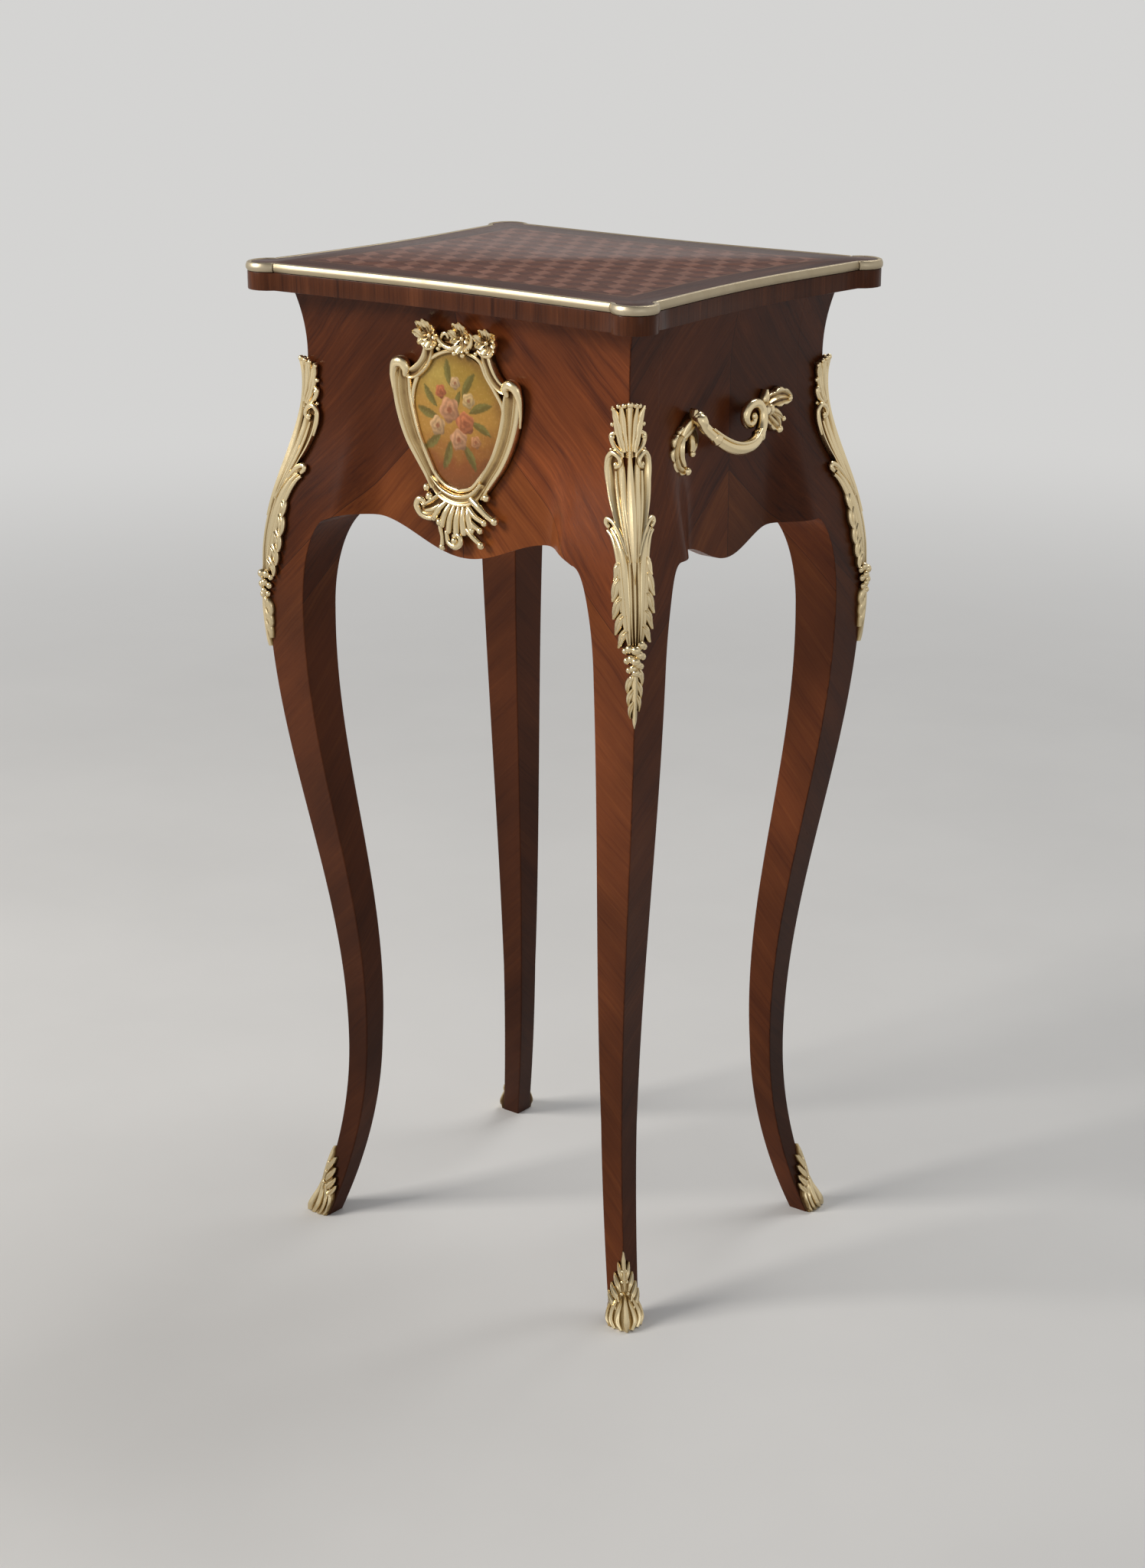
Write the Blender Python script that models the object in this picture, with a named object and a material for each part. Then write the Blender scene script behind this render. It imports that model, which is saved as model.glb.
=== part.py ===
"""Small work table with a hinged lid, cabriole legs and gilt mounts.

Metres, +Z up. The front faces -Y and the floor is at z = 0.
"""
import math

import bmesh
import bpy
from mathutils import Matrix, Vector

# Overall sizes
TABLE_HEIGHT = 0.745
LID_LENGTH = 0.354
LID_DEPTH = 0.298
LID_THICKNESS = 0.019
CASE_LENGTH = 0.288
CASE_DEPTH = 0.231

# Clearances
SEAM = 0.0003
LID_GAP = 0.0006
RUNNING_GAP = 0.0004

# Leg profile: how far the outer arris stands from the case corner, by level
TOP_FLARE = 0.0064
WAIST_DROP = 0.046
KNEE_OUT = 0.0245
KNEE_DROP = 0.210
ANKLE_IN = 0.0112
ANKLE_HEIGHT = 0.145
FOOT_OUT = 0.0105
KNEE_WIDTH = 0.0362
ANKLE_WIDTH = 0.0190
FOOT_WIDTH = 0.0158
POST_SIZE = 0.0328

# Case walls and their shaped lower edges, measured down from the case top
PANEL_THICKNESS = 0.012
SWELL_WIDTH = 0.042
ARCH_WIDTH = 0.0295
ARCH_DROP = 0.1545
JOINT_DROP = 0.1595
SPRING_DROP = 0.2350
CENTRE_DROP = 0.1750

# Bottom of the well and the tray that rests in it
BOTTOM_DROP = 0.136
BOTTOM_THICKNESS = 0.008
BEARER_WIDTH = 0.009
BEARER_HEIGHT = 0.011
TRAY_LEDGE_DROP = 0.063
TRAY_LEDGE_WIDTH = 0.008
TRAY_LEDGE_HEIGHT = 0.008
TRAY_HEIGHT = 0.048
TRAY_WALL = 0.005
TRAY_FLOOR = 0.004
TRAY_PLAY = 0.0010
DIVIDER_THICKNESS = 0.004
DIVIDER_HEIGHT = 0.036
LONG_DIVIDER_Y = 0.020
CROSS_DIVIDER_INSET = 0.0692

# Lid outline and its metal edging
EAR_RADIUS = 0.0155
FRONT_CUSP = 0.0065
SIDE_CUSP = 0.0080
FRONT_HOLLOW = 0.0062
SIDE_HOLLOW = 0.0075
RIM_HEIGHT = 0.0060
RIM_WIDTH = 0.0030
RIM_PROUD = 0.0010
RIM_CROWN = 0.0004

# Mirror under the lid
MIRROR_THICKNESS = 0.003
FRAME_WIDTH = 0.013
FRAME_HEIGHT = 0.008
FRAME_LIP = 0.003
FRAME_END_GAP = 0.0032
FRAME_SIDE_GAP = 0.0105

# Hinges
HINGE_LENGTH = 0.034
HINGE_END_GAP = 0.0162
HINGE_INSET = 0.0140
LEAF_THICKNESS = 0.0012
BARREL_RADIUS = 0.0022
PIN_RADIUS = 0.0010

# Corner mounts on the knees and shoes on the feet
CHUTE_TOP_DROP = 0.0484
CHUTE_LENGTH = 0.2135
CHUTE_REACH = 0.025
CHUTE_RELIEF = 0.0042
CHUTE_EDGE = 0.0014
CHUTE_CURL = 0.0070
SHOE_HEIGHT = 0.052
SHOE_EDGE = 0.0016
SHOE_RELIEF = 0.0030
TOE_OUT = 0.0056
TOE_HEIGHT = 0.016

# Front plaque in its cast frame, measured from the case top
PLAQUE_DROP = 0.0728
PLAQUE_X = -0.0035
PLAQUE_REACH = 0.050
PLAQUE_THICKNESS = 0.0022
PLAQUE_DOME = 0.0016
PLAQUE_REBATE = 0.0026
CAST_RELIEF = 0.0075
CAST_EDGE = 0.0016

# Side handles
HANDLE_DROP = 0.0704
HANDLE_REACH = 0.019
HANDLE_SPAN = 0.088
HANDLE_SHIFT = -0.005
HANDLE_SAG = 0.0250
HANDLE_ROD = 0.0034
FOOT_LEAF_LENGTH = 0.040
FOOT_LEAF_WIDTH = 0.015
FOOT_LEAF_RELIEF = 0.0045
BOSS_RADIUS = 0.0046
STUD_RADIUS = 0.0020
NUT_RADIUS = 0.0048
NUT_HEIGHT = 0.0032

# Levels and edges worked out from the sizes above
CASE_TOP = TABLE_HEIGHT - LID_THICKNESS - LID_GAP
LID_BOTTOM = TABLE_HEIGHT - LID_THICKNESS
RIM_BOTTOM = TABLE_HEIGHT - RIM_HEIGHT
WAIST = CASE_TOP - WAIST_DROP
KNEE = CASE_TOP - KNEE_DROP
JOINT = CASE_TOP - JOINT_DROP
SPRING = CASE_TOP - SPRING_DROP
HALF_X = CASE_LENGTH / 2
HALF_Y = CASE_DEPTH / 2
WELL_X = HALF_X - PANEL_THICKNESS
WELL_Y = HALF_Y - PANEL_THICKNESS
POST_X = HALF_X - POST_SIZE
POST_Y = HALF_Y - POST_SIZE
MIRROR_HALF_X = POST_X - FRAME_END_GAP - FRAME_WIDTH + FRAME_LIP
MIRROR_HALF_Y = WELL_Y - FRAME_SIDE_GAP - FRAME_WIDTH + FRAME_LIP
CROSS_DIVIDER_X = POST_X - CROSS_DIVIDER_INSET
HINGE_X = POST_X - HINGE_END_GAP - HINGE_LENGTH / 2
HINGE_AXIS_Y = HALF_Y + TOP_FLARE + SEAM + BARREL_RADIUS
HINGE_AXIS_Z = (CASE_TOP + LID_BOTTOM) / 2
HINGE_AXIS = Vector((0.0, HINGE_AXIS_Y, HINGE_AXIS_Z))

CORNERS = ("back_right", "back_left", "front_left", "front_right")


# Scene set-up

for old in list(bpy.data.objects):
    bpy.data.objects.remove(old, do_unlink=True)


def new_collection(name):
    collection = bpy.data.collections.new(name)
    bpy.context.scene.collection.children.link(collection)
    return collection


PARTS = new_collection("work_table")
CUTTERS = new_collection("cutters")


def new_material(name, colour, roughness, metallic):
    material = bpy.data.materials.new(name)
    material.use_nodes = True
    shader = material.node_tree.nodes["Principled BSDF"]
    shader.inputs["Base Color"].default_value = (*colour, 1.0)
    shader.inputs["Roughness"].default_value = roughness
    shader.inputs["Metallic"].default_value = metallic
    return material


VENEER = new_material("kingwood_veneer", (0.16, 0.045, 0.02), 0.28, 0.0)
OAK = new_material("carcase_oak", (0.36, 0.22, 0.11), 0.6, 0.0)
WALNUT = new_material("tray_walnut", (0.20, 0.10, 0.05), 0.45, 0.0)
GILT = new_material("gilt_bronze", (0.80, 0.62, 0.30), 0.3, 1.0)
BRASS = new_material("hinge_brass", (0.72, 0.54, 0.24), 0.35, 1.0)
SILVERED = new_material("silvered_glass", (0.86, 0.88, 0.89), 0.04, 1.0)
ENAMEL = new_material("plaque_enamel", (0.62, 0.42, 0.12), 0.25, 0.0)


# Mesh helpers

def add_object(name, mesh, material, collection):
    obj = bpy.data.objects.new(name, mesh)
    collection.objects.link(obj)
    mesh.materials.append(material)
    return obj


def mesh_from(bm, name, smooth_angle=None):
    bmesh.ops.recalc_face_normals(bm, faces=bm.faces)
    mesh = bpy.data.meshes.new(name)
    bm.to_mesh(mesh)
    bm.free()
    if smooth_angle:
        mesh.shade_smooth()
        mesh.set_sharp_from_angle(angle=math.radians(smooth_angle))
    return mesh


def loft_mesh(name, rings, closed=False, smooth_angle=40):
    """Skin a row of rings that hold equally many points."""
    bm = bmesh.new()
    rows = [[bm.verts.new(point) for point in ring] for ring in rings]
    pairs = list(zip(rows, rows[1:]))
    if closed:
        pairs.append((rows[-1], rows[0]))
    for near, far in pairs:
        for k in range(len(near)):
            nxt = (k + 1) % len(near)
            bm.faces.new((near[k], near[nxt], far[nxt], far[k]))
    if not closed:
        bm.faces.new(rows[0][::-1])
        bm.faces.new(rows[-1])
    return mesh_from(bm, name, smooth_angle)


def box_mesh(name, low, high):
    low, high = Vector(low), Vector(high)
    size = high - low
    bm = bmesh.new()
    bmesh.ops.create_cube(bm, size=1.0)
    bmesh.ops.scale(bm, vec=size, verts=bm.verts)
    bmesh.ops.translate(bm, vec=(low + high) / 2, verts=bm.verts)
    return mesh_from(bm, name)


def rod_mesh(name, start, end, radius, sides=16):
    start, end = Vector(start), Vector(end)
    axis = end - start
    bm = bmesh.new()
    bmesh.ops.create_cone(bm, cap_ends=True, segments=sides, radius1=radius,
                          radius2=radius, depth=axis.length)
    turn = axis.to_track_quat("Z", "Y").to_matrix()
    bmesh.ops.rotate(bm, matrix=turn, verts=bm.verts)
    bmesh.ops.translate(bm, vec=(start + end) / 2, verts=bm.verts)
    return mesh_from(bm, name, smooth_angle=40)


def add_box(name, low, high, material):
    return add_object(name, box_mesh(name, low, high), material, PARTS)


def add_tool(mesh):
    """A shape that cuts or joins another one, and is no part itself."""
    tool = bpy.data.objects.new(mesh.name, mesh)
    CUTTERS.objects.link(tool)
    tool.hide_render = True
    tool.display_type = "WIRE"
    return tool


def combine(target, mesh, operation):
    modifier = target.modifiers.new(mesh.name, "BOOLEAN")
    modifier.operation = operation
    modifier.solver = "EXACT"
    modifier.object = add_tool(mesh)


def cut(target, mesh):
    combine(target, mesh, "DIFFERENCE")


def fuse(target, mesh):
    combine(target, mesh, "UNION")


def ease(u):
    """Smooth step with no curvature at its ends."""
    u = min(max(u, 0.0), 1.0)
    return u ** 3 * (u * (6 * u - 15) + 10)


def through(points, u):
    """Smooth curve through (position, value) points, flat beyond its ends."""
    if u <= points[0][0]:
        return points[0][1]
    for k in range(len(points) - 1):
        (u0, v0), (u1, v1) = points[k], points[k + 1]
        if u <= u1:
            before = points[max(k - 1, 0)]
            after = points[min(k + 2, len(points) - 1)]
            slope0 = (v1 - before[1]) / (u1 - before[0])
            slope1 = (after[1] - v0) / (after[0] - u0)
            span = u1 - u0
            t = (u - u0) / span
            return ((2 * t ** 3 - 3 * t ** 2 + 1) * v0 + (t ** 3 - 2 * t ** 2 + t) * span * slope0
                    + (3 * t ** 2 - 2 * t ** 3) * v1 + (t ** 3 - t ** 2) * span * slope1)
    return points[-1][1]


def steps(start, end, count):
    return [start + (end - start) * k / count for k in range(count)]


# Legs

def arris_offset(z):
    """Distance of the outer arris from the case corner, in X and in Y alike."""
    if z >= WAIST:
        return TOP_FLARE * ((z - WAIST) / WAIST_DROP) ** 2
    if z >= KNEE:
        return KNEE_OUT * ease((WAIST - z) / (WAIST - KNEE))
    if z >= ANKLE_HEIGHT:
        swing = (1 - math.cos(math.pi * (KNEE - z) / (KNEE - ANKLE_HEIGHT))) / 2
        return KNEE_OUT - (KNEE_OUT + ANKLE_IN) * swing
    return -ANKLE_IN + (FOOT_OUT + ANKLE_IN) * (1 - z / ANKLE_HEIGHT) ** 2


def leg_width(z):
    if z >= ANKLE_HEIGHT:
        share = (z - ANKLE_HEIGHT) / (KNEE - ANKLE_HEIGHT)
        return ANKLE_WIDTH + (KNEE_WIDTH - ANKLE_WIDTH) * share
    return FOOT_WIDTH + (ANKLE_WIDTH - FOOT_WIDTH) * z / ANKLE_HEIGHT


def leg_inner_offset(z):
    """Inner faces: the leg's own width, then the arch, then the square post."""
    if z >= JOINT:
        return -POST_SIZE
    if z <= SPRING:
        return arris_offset(z) - leg_width(z)
    foot = arris_offset(SPRING) - leg_width(SPRING)
    rise = (z - SPRING) / (JOINT - SPRING)
    return foot + (-POST_SIZE - foot) * (1 - math.sqrt(1 - rise ** 2))


def leg_levels():
    levels = steps(0.0, ANKLE_HEIGHT, 9)
    levels += steps(ANKLE_HEIGHT, SPRING, 11)
    levels += [SPRING + (JOINT - SPRING) * math.sin(angle) for angle in steps(0.0, math.pi / 2, 8)]
    levels += steps(JOINT, WAIST, 8)
    levels += steps(WAIST, CASE_TOP, 4)
    return levels + [CASE_TOP]


def leg_mesh():
    rings = []
    for z in leg_levels():
        out, inn = arris_offset(z), leg_inner_offset(z)
        rings.append([(out, out, z), (inn, out, z), (inn, inn, z), (out, inn, z)])
    return loft_mesh("leg", rings)


def place_at_corner(obj, quarter_turns):
    """Turn a corner piece about Z and set it at its corner of the case."""
    angle = quarter_turns * math.pi / 2
    obj.rotation_euler = (0.0, 0.0, angle)
    x_sign = 1 if quarter_turns in (0, 3) else -1
    y_sign = 1 if quarter_turns in (0, 1) else -1
    obj.location = (x_sign * HALF_X, y_sign * HALF_Y, 0.0)


def add_corner_set(stem, mesh, material):
    for quarter_turns, corner in enumerate(CORNERS):
        piece = bpy.data.objects.new(f"{stem}_{corner}", mesh)
        PARTS.objects.link(piece)
        place_at_corner(piece, quarter_turns)
    mesh.materials.append(material)


add_corner_set("leg", leg_mesh(), VENEER)


# Case panels

def panel_lower_edge(u, half_span, arch_drop):
    """Lower edge of a panel: a central drop between two arches."""
    crown = half_span - ARCH_WIDTH
    u = abs(u)
    if u <= crown:
        fall = CENTRE_DROP + (arch_drop - CENTRE_DROP) * (1 - math.cos(math.pi * u / crown)) / 2
    else:
        fall = arch_drop + (JOINT_DROP - arch_drop) * ((u - crown) / ARCH_WIDTH) ** 3
    return CASE_TOP - fall


def panel_face_offset(u, z, half_span):
    """The face stays flat in the middle and swells to the knees beside the legs."""
    if z >= WAIST:
        return arris_offset(z)
    return arris_offset(z) * ease((abs(u) - half_span + SWELL_WIDTH) / SWELL_WIDTH)


def panel_mesh(name, half_span, wall, arch_drop, columns):
    """Upright sections, side by side, of a panel that faces -Y."""
    rows = 11
    rings = []
    for k in range(columns + 1):
        u = (half_span - SEAM) * (2 * k / columns - 1)
        low = panel_lower_edge(u, half_span, arch_drop)
        back = -(wall - PANEL_THICKNESS)
        ring = [(u, back, low), (u, back, CASE_TOP)]
        for row in range(rows + 1):
            z = CASE_TOP + (low - CASE_TOP) * row / rows
            ring.append((u, -(wall + panel_face_offset(u, z, half_span)), z))
        rings.append(ring)
    return loft_mesh(name, rings)


def add_panel(name, mesh, half_turns, turn=0.0):
    panel = bpy.data.objects.new(name, mesh)
    PARTS.objects.link(panel)
    panel.rotation_euler = (0.0, 0.0, half_turns * math.pi + turn)
    return panel


LONG_PANEL = panel_mesh("long_panel", POST_X, HALF_Y, ARCH_DROP, 20)
SHORT_PANEL = panel_mesh("short_panel", POST_Y, HALF_X, JOINT_DROP, 14)
for panel_shape in (LONG_PANEL, SHORT_PANEL):
    panel_shape.materials.append(VENEER)
front_panel = add_panel("front_panel", LONG_PANEL, 0)
back_panel = add_panel("back_panel", LONG_PANEL, 1)
right_panel = add_panel("right_panel", SHORT_PANEL, 0, math.pi / 2)
left_panel = add_panel("left_panel", SHORT_PANEL, 1, math.pi / 2)


# Bottom of the well on its bearers

def add_well_bottom():
    top = CASE_TOP - BOTTOM_DROP
    low = top - BOTTOM_THICKNESS
    reach_x, reach_y = WELL_X - SEAM, WELL_Y - SEAM
    notch_x, notch_y = POST_X - SEAM, POST_Y - SEAM
    quarter = [(reach_x, notch_y), (notch_x, notch_y), (notch_x, reach_y)]
    outline = quarter + [(-x, y) for x, y in quarter[::-1]]
    outline += [(-x, -y) for x, y in quarter] + [(x, -y) for x, y in quarter[::-1]]
    rings = [[(x, y, z) for x, y in outline] for z in (low, top)]
    mesh = loft_mesh("well_bottom", rings, smooth_angle=None)
    add_object("well_bottom", mesh, OAK, PARTS)

    high = low - SEAM
    foot = high - BEARER_HEIGHT
    edge_x, edge_y = WELL_X - SEAM, WELL_Y - SEAM
    length_x, length_y = POST_X - SEAM, POST_Y - SEAM
    add_box("bearer_front", (-length_x, -edge_y, foot), (length_x, -edge_y + BEARER_WIDTH, high), OAK)
    add_box("bearer_back", (-length_x, edge_y - BEARER_WIDTH, foot), (length_x, edge_y, high), OAK)
    add_box("bearer_right", (edge_x - BEARER_WIDTH, -length_y, foot), (edge_x, length_y, high), OAK)
    add_box("bearer_left", (-edge_x, -length_y, foot), (-edge_x + BEARER_WIDTH, length_y, high), OAK)


add_well_bottom()


# Tray with its compartments, on two ledges

def add_tray():
    ledge_top = CASE_TOP - TRAY_LEDGE_DROP
    ledge_low = ledge_top - TRAY_LEDGE_HEIGHT
    wall_y = WELL_Y - SEAM
    length = POST_X - SEAM
    inner_y = wall_y - TRAY_LEDGE_WIDTH
    add_box("tray_ledge_front", (-length, -wall_y, ledge_low), (length, -inner_y, ledge_top), OAK)
    add_box("tray_ledge_back", (-length, inner_y, ledge_low), (length, wall_y, ledge_top), OAK)

    out_x, out_y = POST_X - TRAY_PLAY, WELL_Y - TRAY_PLAY
    low = ledge_top + SEAM
    floor = low + TRAY_FLOOR
    wall_low, top = floor + SEAM, low + TRAY_HEIGHT
    in_x, in_y = out_x - TRAY_WALL, out_y - TRAY_WALL
    add_box("tray_floor", (-out_x, -out_y, low), (out_x, out_y, floor), WALNUT)
    add_box("tray_front", (-out_x, -out_y, wall_low), (out_x, -in_y, top), WALNUT)
    add_box("tray_back", (-out_x, in_y, wall_low), (out_x, out_y, top), WALNUT)
    add_box("tray_left", (-out_x, -in_y + SEAM, wall_low), (-in_x, in_y - SEAM, top), WALNUT)
    add_box("tray_right", (in_x, -in_y + SEAM, wall_low), (out_x, in_y - SEAM, top), WALNUT)

    half = DIVIDER_THICKNESS / 2
    divider_top = wall_low + DIVIDER_HEIGHT
    add_box("tray_long_divider", (-in_x + SEAM, LONG_DIVIDER_Y - half, wall_low),
            (in_x - SEAM, LONG_DIVIDER_Y + half, divider_top), WALNUT)
    for side, x in (("left", -CROSS_DIVIDER_X), ("right", CROSS_DIVIDER_X)):
        add_box(f"tray_cross_divider_{side}", (x - half, -in_y + SEAM, wall_low),
                (x + half, LONG_DIVIDER_Y - half - SEAM, divider_top), WALNUT)


add_tray()


# Lid

lid_axis = bpy.data.objects.new("lid_hinge_axis", None)
lid_axis.location = HINGE_AXIS
PARTS.objects.link(lid_axis)


def hang_on_lid(obj):
    obj.parent = lid_axis
    obj.matrix_parent_inverse = Matrix.Translation(-HINGE_AXIS)
    return obj


def hollow(s):
    """1 in the middle and 0 at both ends, for edges that sweep in between the ears."""
    return (1 - s * s) * (1 - 0.4 * s * s)


def lid_runs():
    """The eight runs of the lid's outline, from cusp to cusp, anticlockwise."""
    ear_x, ear_y = LID_LENGTH / 2 - EAR_RADIUS, LID_DEPTH / 2 - EAR_RADIUS
    front_turn = math.acos(1 - FRONT_CUSP / EAR_RADIUS)
    side_turn = math.acos(1 - SIDE_CUSP / EAR_RADIUS)
    cusp_x = ear_x - EAR_RADIUS * math.sin(front_turn)
    cusp_y = ear_y - EAR_RADIUS * math.sin(side_turn)
    front, side, ear = [], [], []
    for k in range(19):
        s = k / 9 - 1
        front.append((s * cusp_x, -(LID_DEPTH / 2 - FRONT_CUSP - FRONT_HOLLOW * hollow(s))))
    for k in range(15):
        s = k / 7 - 1
        side.append((LID_LENGTH / 2 - SIDE_CUSP - SIDE_HOLLOW * hollow(s), s * cusp_y))
    sweep = math.pi / 2 + front_turn + side_turn
    for k in range(11):
        angle = -math.pi / 2 - front_turn + sweep * k / 10
        ear.append((ear_x + EAR_RADIUS * math.cos(angle), -ear_y + EAR_RADIUS * math.sin(angle)))
    ear_back = [(x, -y) for x, y in ear[::-1]]
    half = {"front": front, "ear_front_right": ear, "right": side, "ear_back_right": ear_back}
    other = ("back", "ear_back_left", "left", "ear_front_left")
    turned = {name: [(-x, -y) for x, y in run] for name, run in zip(other, half.values())}
    return {**half, **turned}


def outward(before, after):
    """Unit normal to the right of the way along an anticlockwise outline."""
    way = (Vector(after) - Vector(before)).normalized()
    return Vector((way.y, -way.x))


def run_normals(run, run_before, run_after):
    """Outward vectors along a run, mitred with its neighbours at both cusps."""
    normals = []
    for k, point in enumerate(run):
        near = run[k - 1] if k else run_before[-2]
        far = run[k + 1] if k + 1 < len(run) else run_after[1]
        mitre = outward(near, point) + outward(point, far)
        normals.append(mitre * 2 / mitre.length_squared)
    return normals


def lid_outline():
    """Each run of the outline with its mitred outward vectors."""
    runs = lid_runs()
    names = list(runs)
    outline = {}
    for k, name in enumerate(names):
        before, after = runs[names[k - 1]], runs[names[(k + 1) % len(names)]]
        outline[name] = (runs[name], run_normals(runs[name], before, after))
    return outline


def lid_ring(outline, offset, z):
    ring = []
    for run, normals in outline.values():
        for point, normal in list(zip(run, normals))[:-1]:
            ring.append((point[0] + normal.x * offset, point[1] + normal.y * offset, z))
    return ring


def rim_section(point, normal, way):
    """Cross-section of the edging: flat in its rebate, rounded outside."""
    top, low = TABLE_HEIGHT + RIM_CROWN, RIM_BOTTOM
    shape = [(-RIM_WIDTH, low), (0.0, low), (RIM_PROUD, low + RIM_HEIGHT * 0.3),
             (RIM_PROUD, low + RIM_HEIGHT * 0.6), (0.0, top - RIM_CROWN),
             (-RIM_WIDTH * 0.5, top), (-RIM_WIDTH, TABLE_HEIGHT)]
    base = Vector(point) + way
    return [(base.x + normal.x * out, base.y + normal.y * out, z) for out, z in shape]


def add_lid():
    outline = lid_outline()
    shoulder = RIM_BOTTOM - SEAM
    inset = -(RIM_WIDTH + SEAM)
    rings = [lid_ring(outline, 0.0, LID_BOTTOM), lid_ring(outline, 0.0, shoulder),
             lid_ring(outline, inset, shoulder), lid_ring(outline, inset, TABLE_HEIGHT)]
    board = add_object("lid_board", loft_mesh("lid_board", rings, smooth_angle=30), VENEER, PARTS)
    hang_on_lid(board)
    for name, (run, normals) in outline.items():
        sections = []
        last = len(run) - 1
        for k, (point, normal) in enumerate(zip(run, normals)):
            way = Vector((0.0, 0.0))
            if k == 0:
                way = (Vector(run[1]) - Vector(run[0])).normalized() * SEAM
            if k == last:
                way = (Vector(run[last - 1]) - Vector(run[last])).normalized() * SEAM
            sections.append(rim_section(point, normal, way))
        mesh = loft_mesh(f"rim_{name}", sections)
        hang_on_lid(add_object(f"rim_{name}", mesh, GILT, PARTS))
    return board


lid_board = add_lid()


# Mirror and its frame, under the lid

def frame_section(along, mitre_sign, side_half, end_half):
    """Section of a frame moulding, drawn at one mitred end."""
    top = LID_BOTTOM - SEAM
    low = top - FRAME_HEIGHT
    rebate = top - MIRROR_THICKNESS - 2 * SEAM
    lip = FRAME_LIP + SEAM
    shape = [(FRAME_WIDTH, top), (FRAME_WIDTH, low + FRAME_HEIGHT * 0.45),
             (FRAME_WIDTH * 0.75, low), (FRAME_WIDTH * 0.35, low), (0.0, rebate - SEAM),
             (0.0, rebate), (lip, rebate), (lip, top)]
    return [(mitre_sign * (end_half + out) - mitre_sign * SEAM, along * (side_half + out), z)
            for out, z in shape]


def add_mirror():
    opening_x, opening_y = MIRROR_HALF_X - FRAME_LIP, MIRROR_HALF_Y - FRAME_LIP
    top = LID_BOTTOM - SEAM
    glass = add_box("mirror", (-MIRROR_HALF_X, -MIRROR_HALF_Y, top - MIRROR_THICKNESS),
                    (MIRROR_HALF_X, MIRROR_HALF_Y, top), SILVERED)
    hang_on_lid(glass)
    for name, along in (("front", -1), ("back", 1)):
        rings = [frame_section(along, end, opening_y, opening_x) for end in (-1, 1)]
        moulding = add_object(f"mirror_frame_{name}", loft_mesh(f"mirror_frame_{name}", rings),
                              VENEER, PARTS)
        hang_on_lid(moulding)
    for name, along in (("left", -1), ("right", 1)):
        rings = [[(y, x, z) for x, y, z in frame_section(along, end, opening_x, opening_y)]
                 for end in (-1, 1)]
        moulding = add_object(f"mirror_frame_{name}", loft_mesh(f"mirror_frame_{name}", rings),
                              VENEER, PARTS)
        hang_on_lid(moulding)


add_mirror()


# Hinges

def hinge_spans(x):
    """Ends of the three barrels of a hinge: outer, middle, outer."""
    third = HINGE_LENGTH / 3
    left = x - HINGE_LENGTH / 2
    return [(left + k * third + SEAM / 2, left + (k + 1) * third - SEAM / 2) for k in range(3)]


def add_leaf(name, x, low, barrels):
    """A leaf with its barrels, bored for the pin."""
    front = HALF_Y + TOP_FLARE - HINGE_INSET
    back = HINGE_AXIS_Y - BARREL_RADIUS - RUNNING_GAP
    half = HINGE_LENGTH / 2
    leaf = add_object(name, box_mesh(name, (x - half, front, low),
                                     (x + half, back, low + LEAF_THICKNESS)), BRASS, PARTS)
    for k, (start, end) in enumerate(barrels):
        fuse(leaf, box_mesh(f"{name}_tongue_{k}", (start, back - LEAF_THICKNESS, low),
                            (end, HINGE_AXIS_Y, low + LEAF_THICKNESS)))
        fuse(leaf, rod_mesh(f"{name}_barrel_{k}", (start, HINGE_AXIS_Y, HINGE_AXIS_Z),
                            (end, HINGE_AXIS_Y, HINGE_AXIS_Z), BARREL_RADIUS))
    cut(leaf, rod_mesh(f"{name}_bore", (x - HINGE_LENGTH, HINGE_AXIS_Y, HINGE_AXIS_Z),
                       (x + HINGE_LENGTH, HINGE_AXIS_Y, HINGE_AXIS_Z), PIN_RADIUS + SEAM))
    return leaf


def add_hinge(side, x):
    outer_left, middle, outer_right = hinge_spans(x)
    add_leaf(f"hinge_case_leaf_{side}", x, CASE_TOP - LEAF_THICKNESS, [outer_left, outer_right])
    lid_leaf = add_leaf(f"hinge_lid_leaf_{side}", x, LID_BOTTOM, [middle])
    hang_on_lid(lid_leaf)
    half = HINGE_LENGTH / 2
    name = f"hinge_pin_{side}"
    pin = rod_mesh(name, (x - half, HINGE_AXIS_Y, HINGE_AXIS_Z), (x + half, HINGE_AXIS_Y, HINGE_AXIS_Z),
                   PIN_RADIUS, sides=12)
    add_object(name, pin, BRASS, PARTS)

    front = HALF_Y + TOP_FLARE - HINGE_INSET - SEAM
    back = HINGE_AXIS_Y + BARREL_RADIUS + RUNNING_GAP
    reach = half + RUNNING_GAP
    depth = LEAF_THICKNESS + SEAM
    trench = BARREL_RADIUS + RUNNING_GAP
    cut(lid_board, box_mesh(f"lid_mortise_{side}", (x - reach, front, LID_BOTTOM - depth),
                            (x + reach, HINGE_AXIS_Y, LID_BOTTOM + depth)))
    cut(lid_board, box_mesh(f"lid_trench_{side}", (x - reach, HINGE_AXIS_Y - trench, LID_BOTTOM - depth),
                            (x + reach, back, HINGE_AXIS_Z + trench)))
    turned = box_mesh(f"case_mortise_{side}", (x - reach, front, CASE_TOP - depth),
                      (x + reach, back, CASE_TOP + depth))
    cut(back_panel, turned)


add_hinge("left", -HINGE_X)
add_hinge("right", HINGE_X)


# Knee mounts

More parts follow.
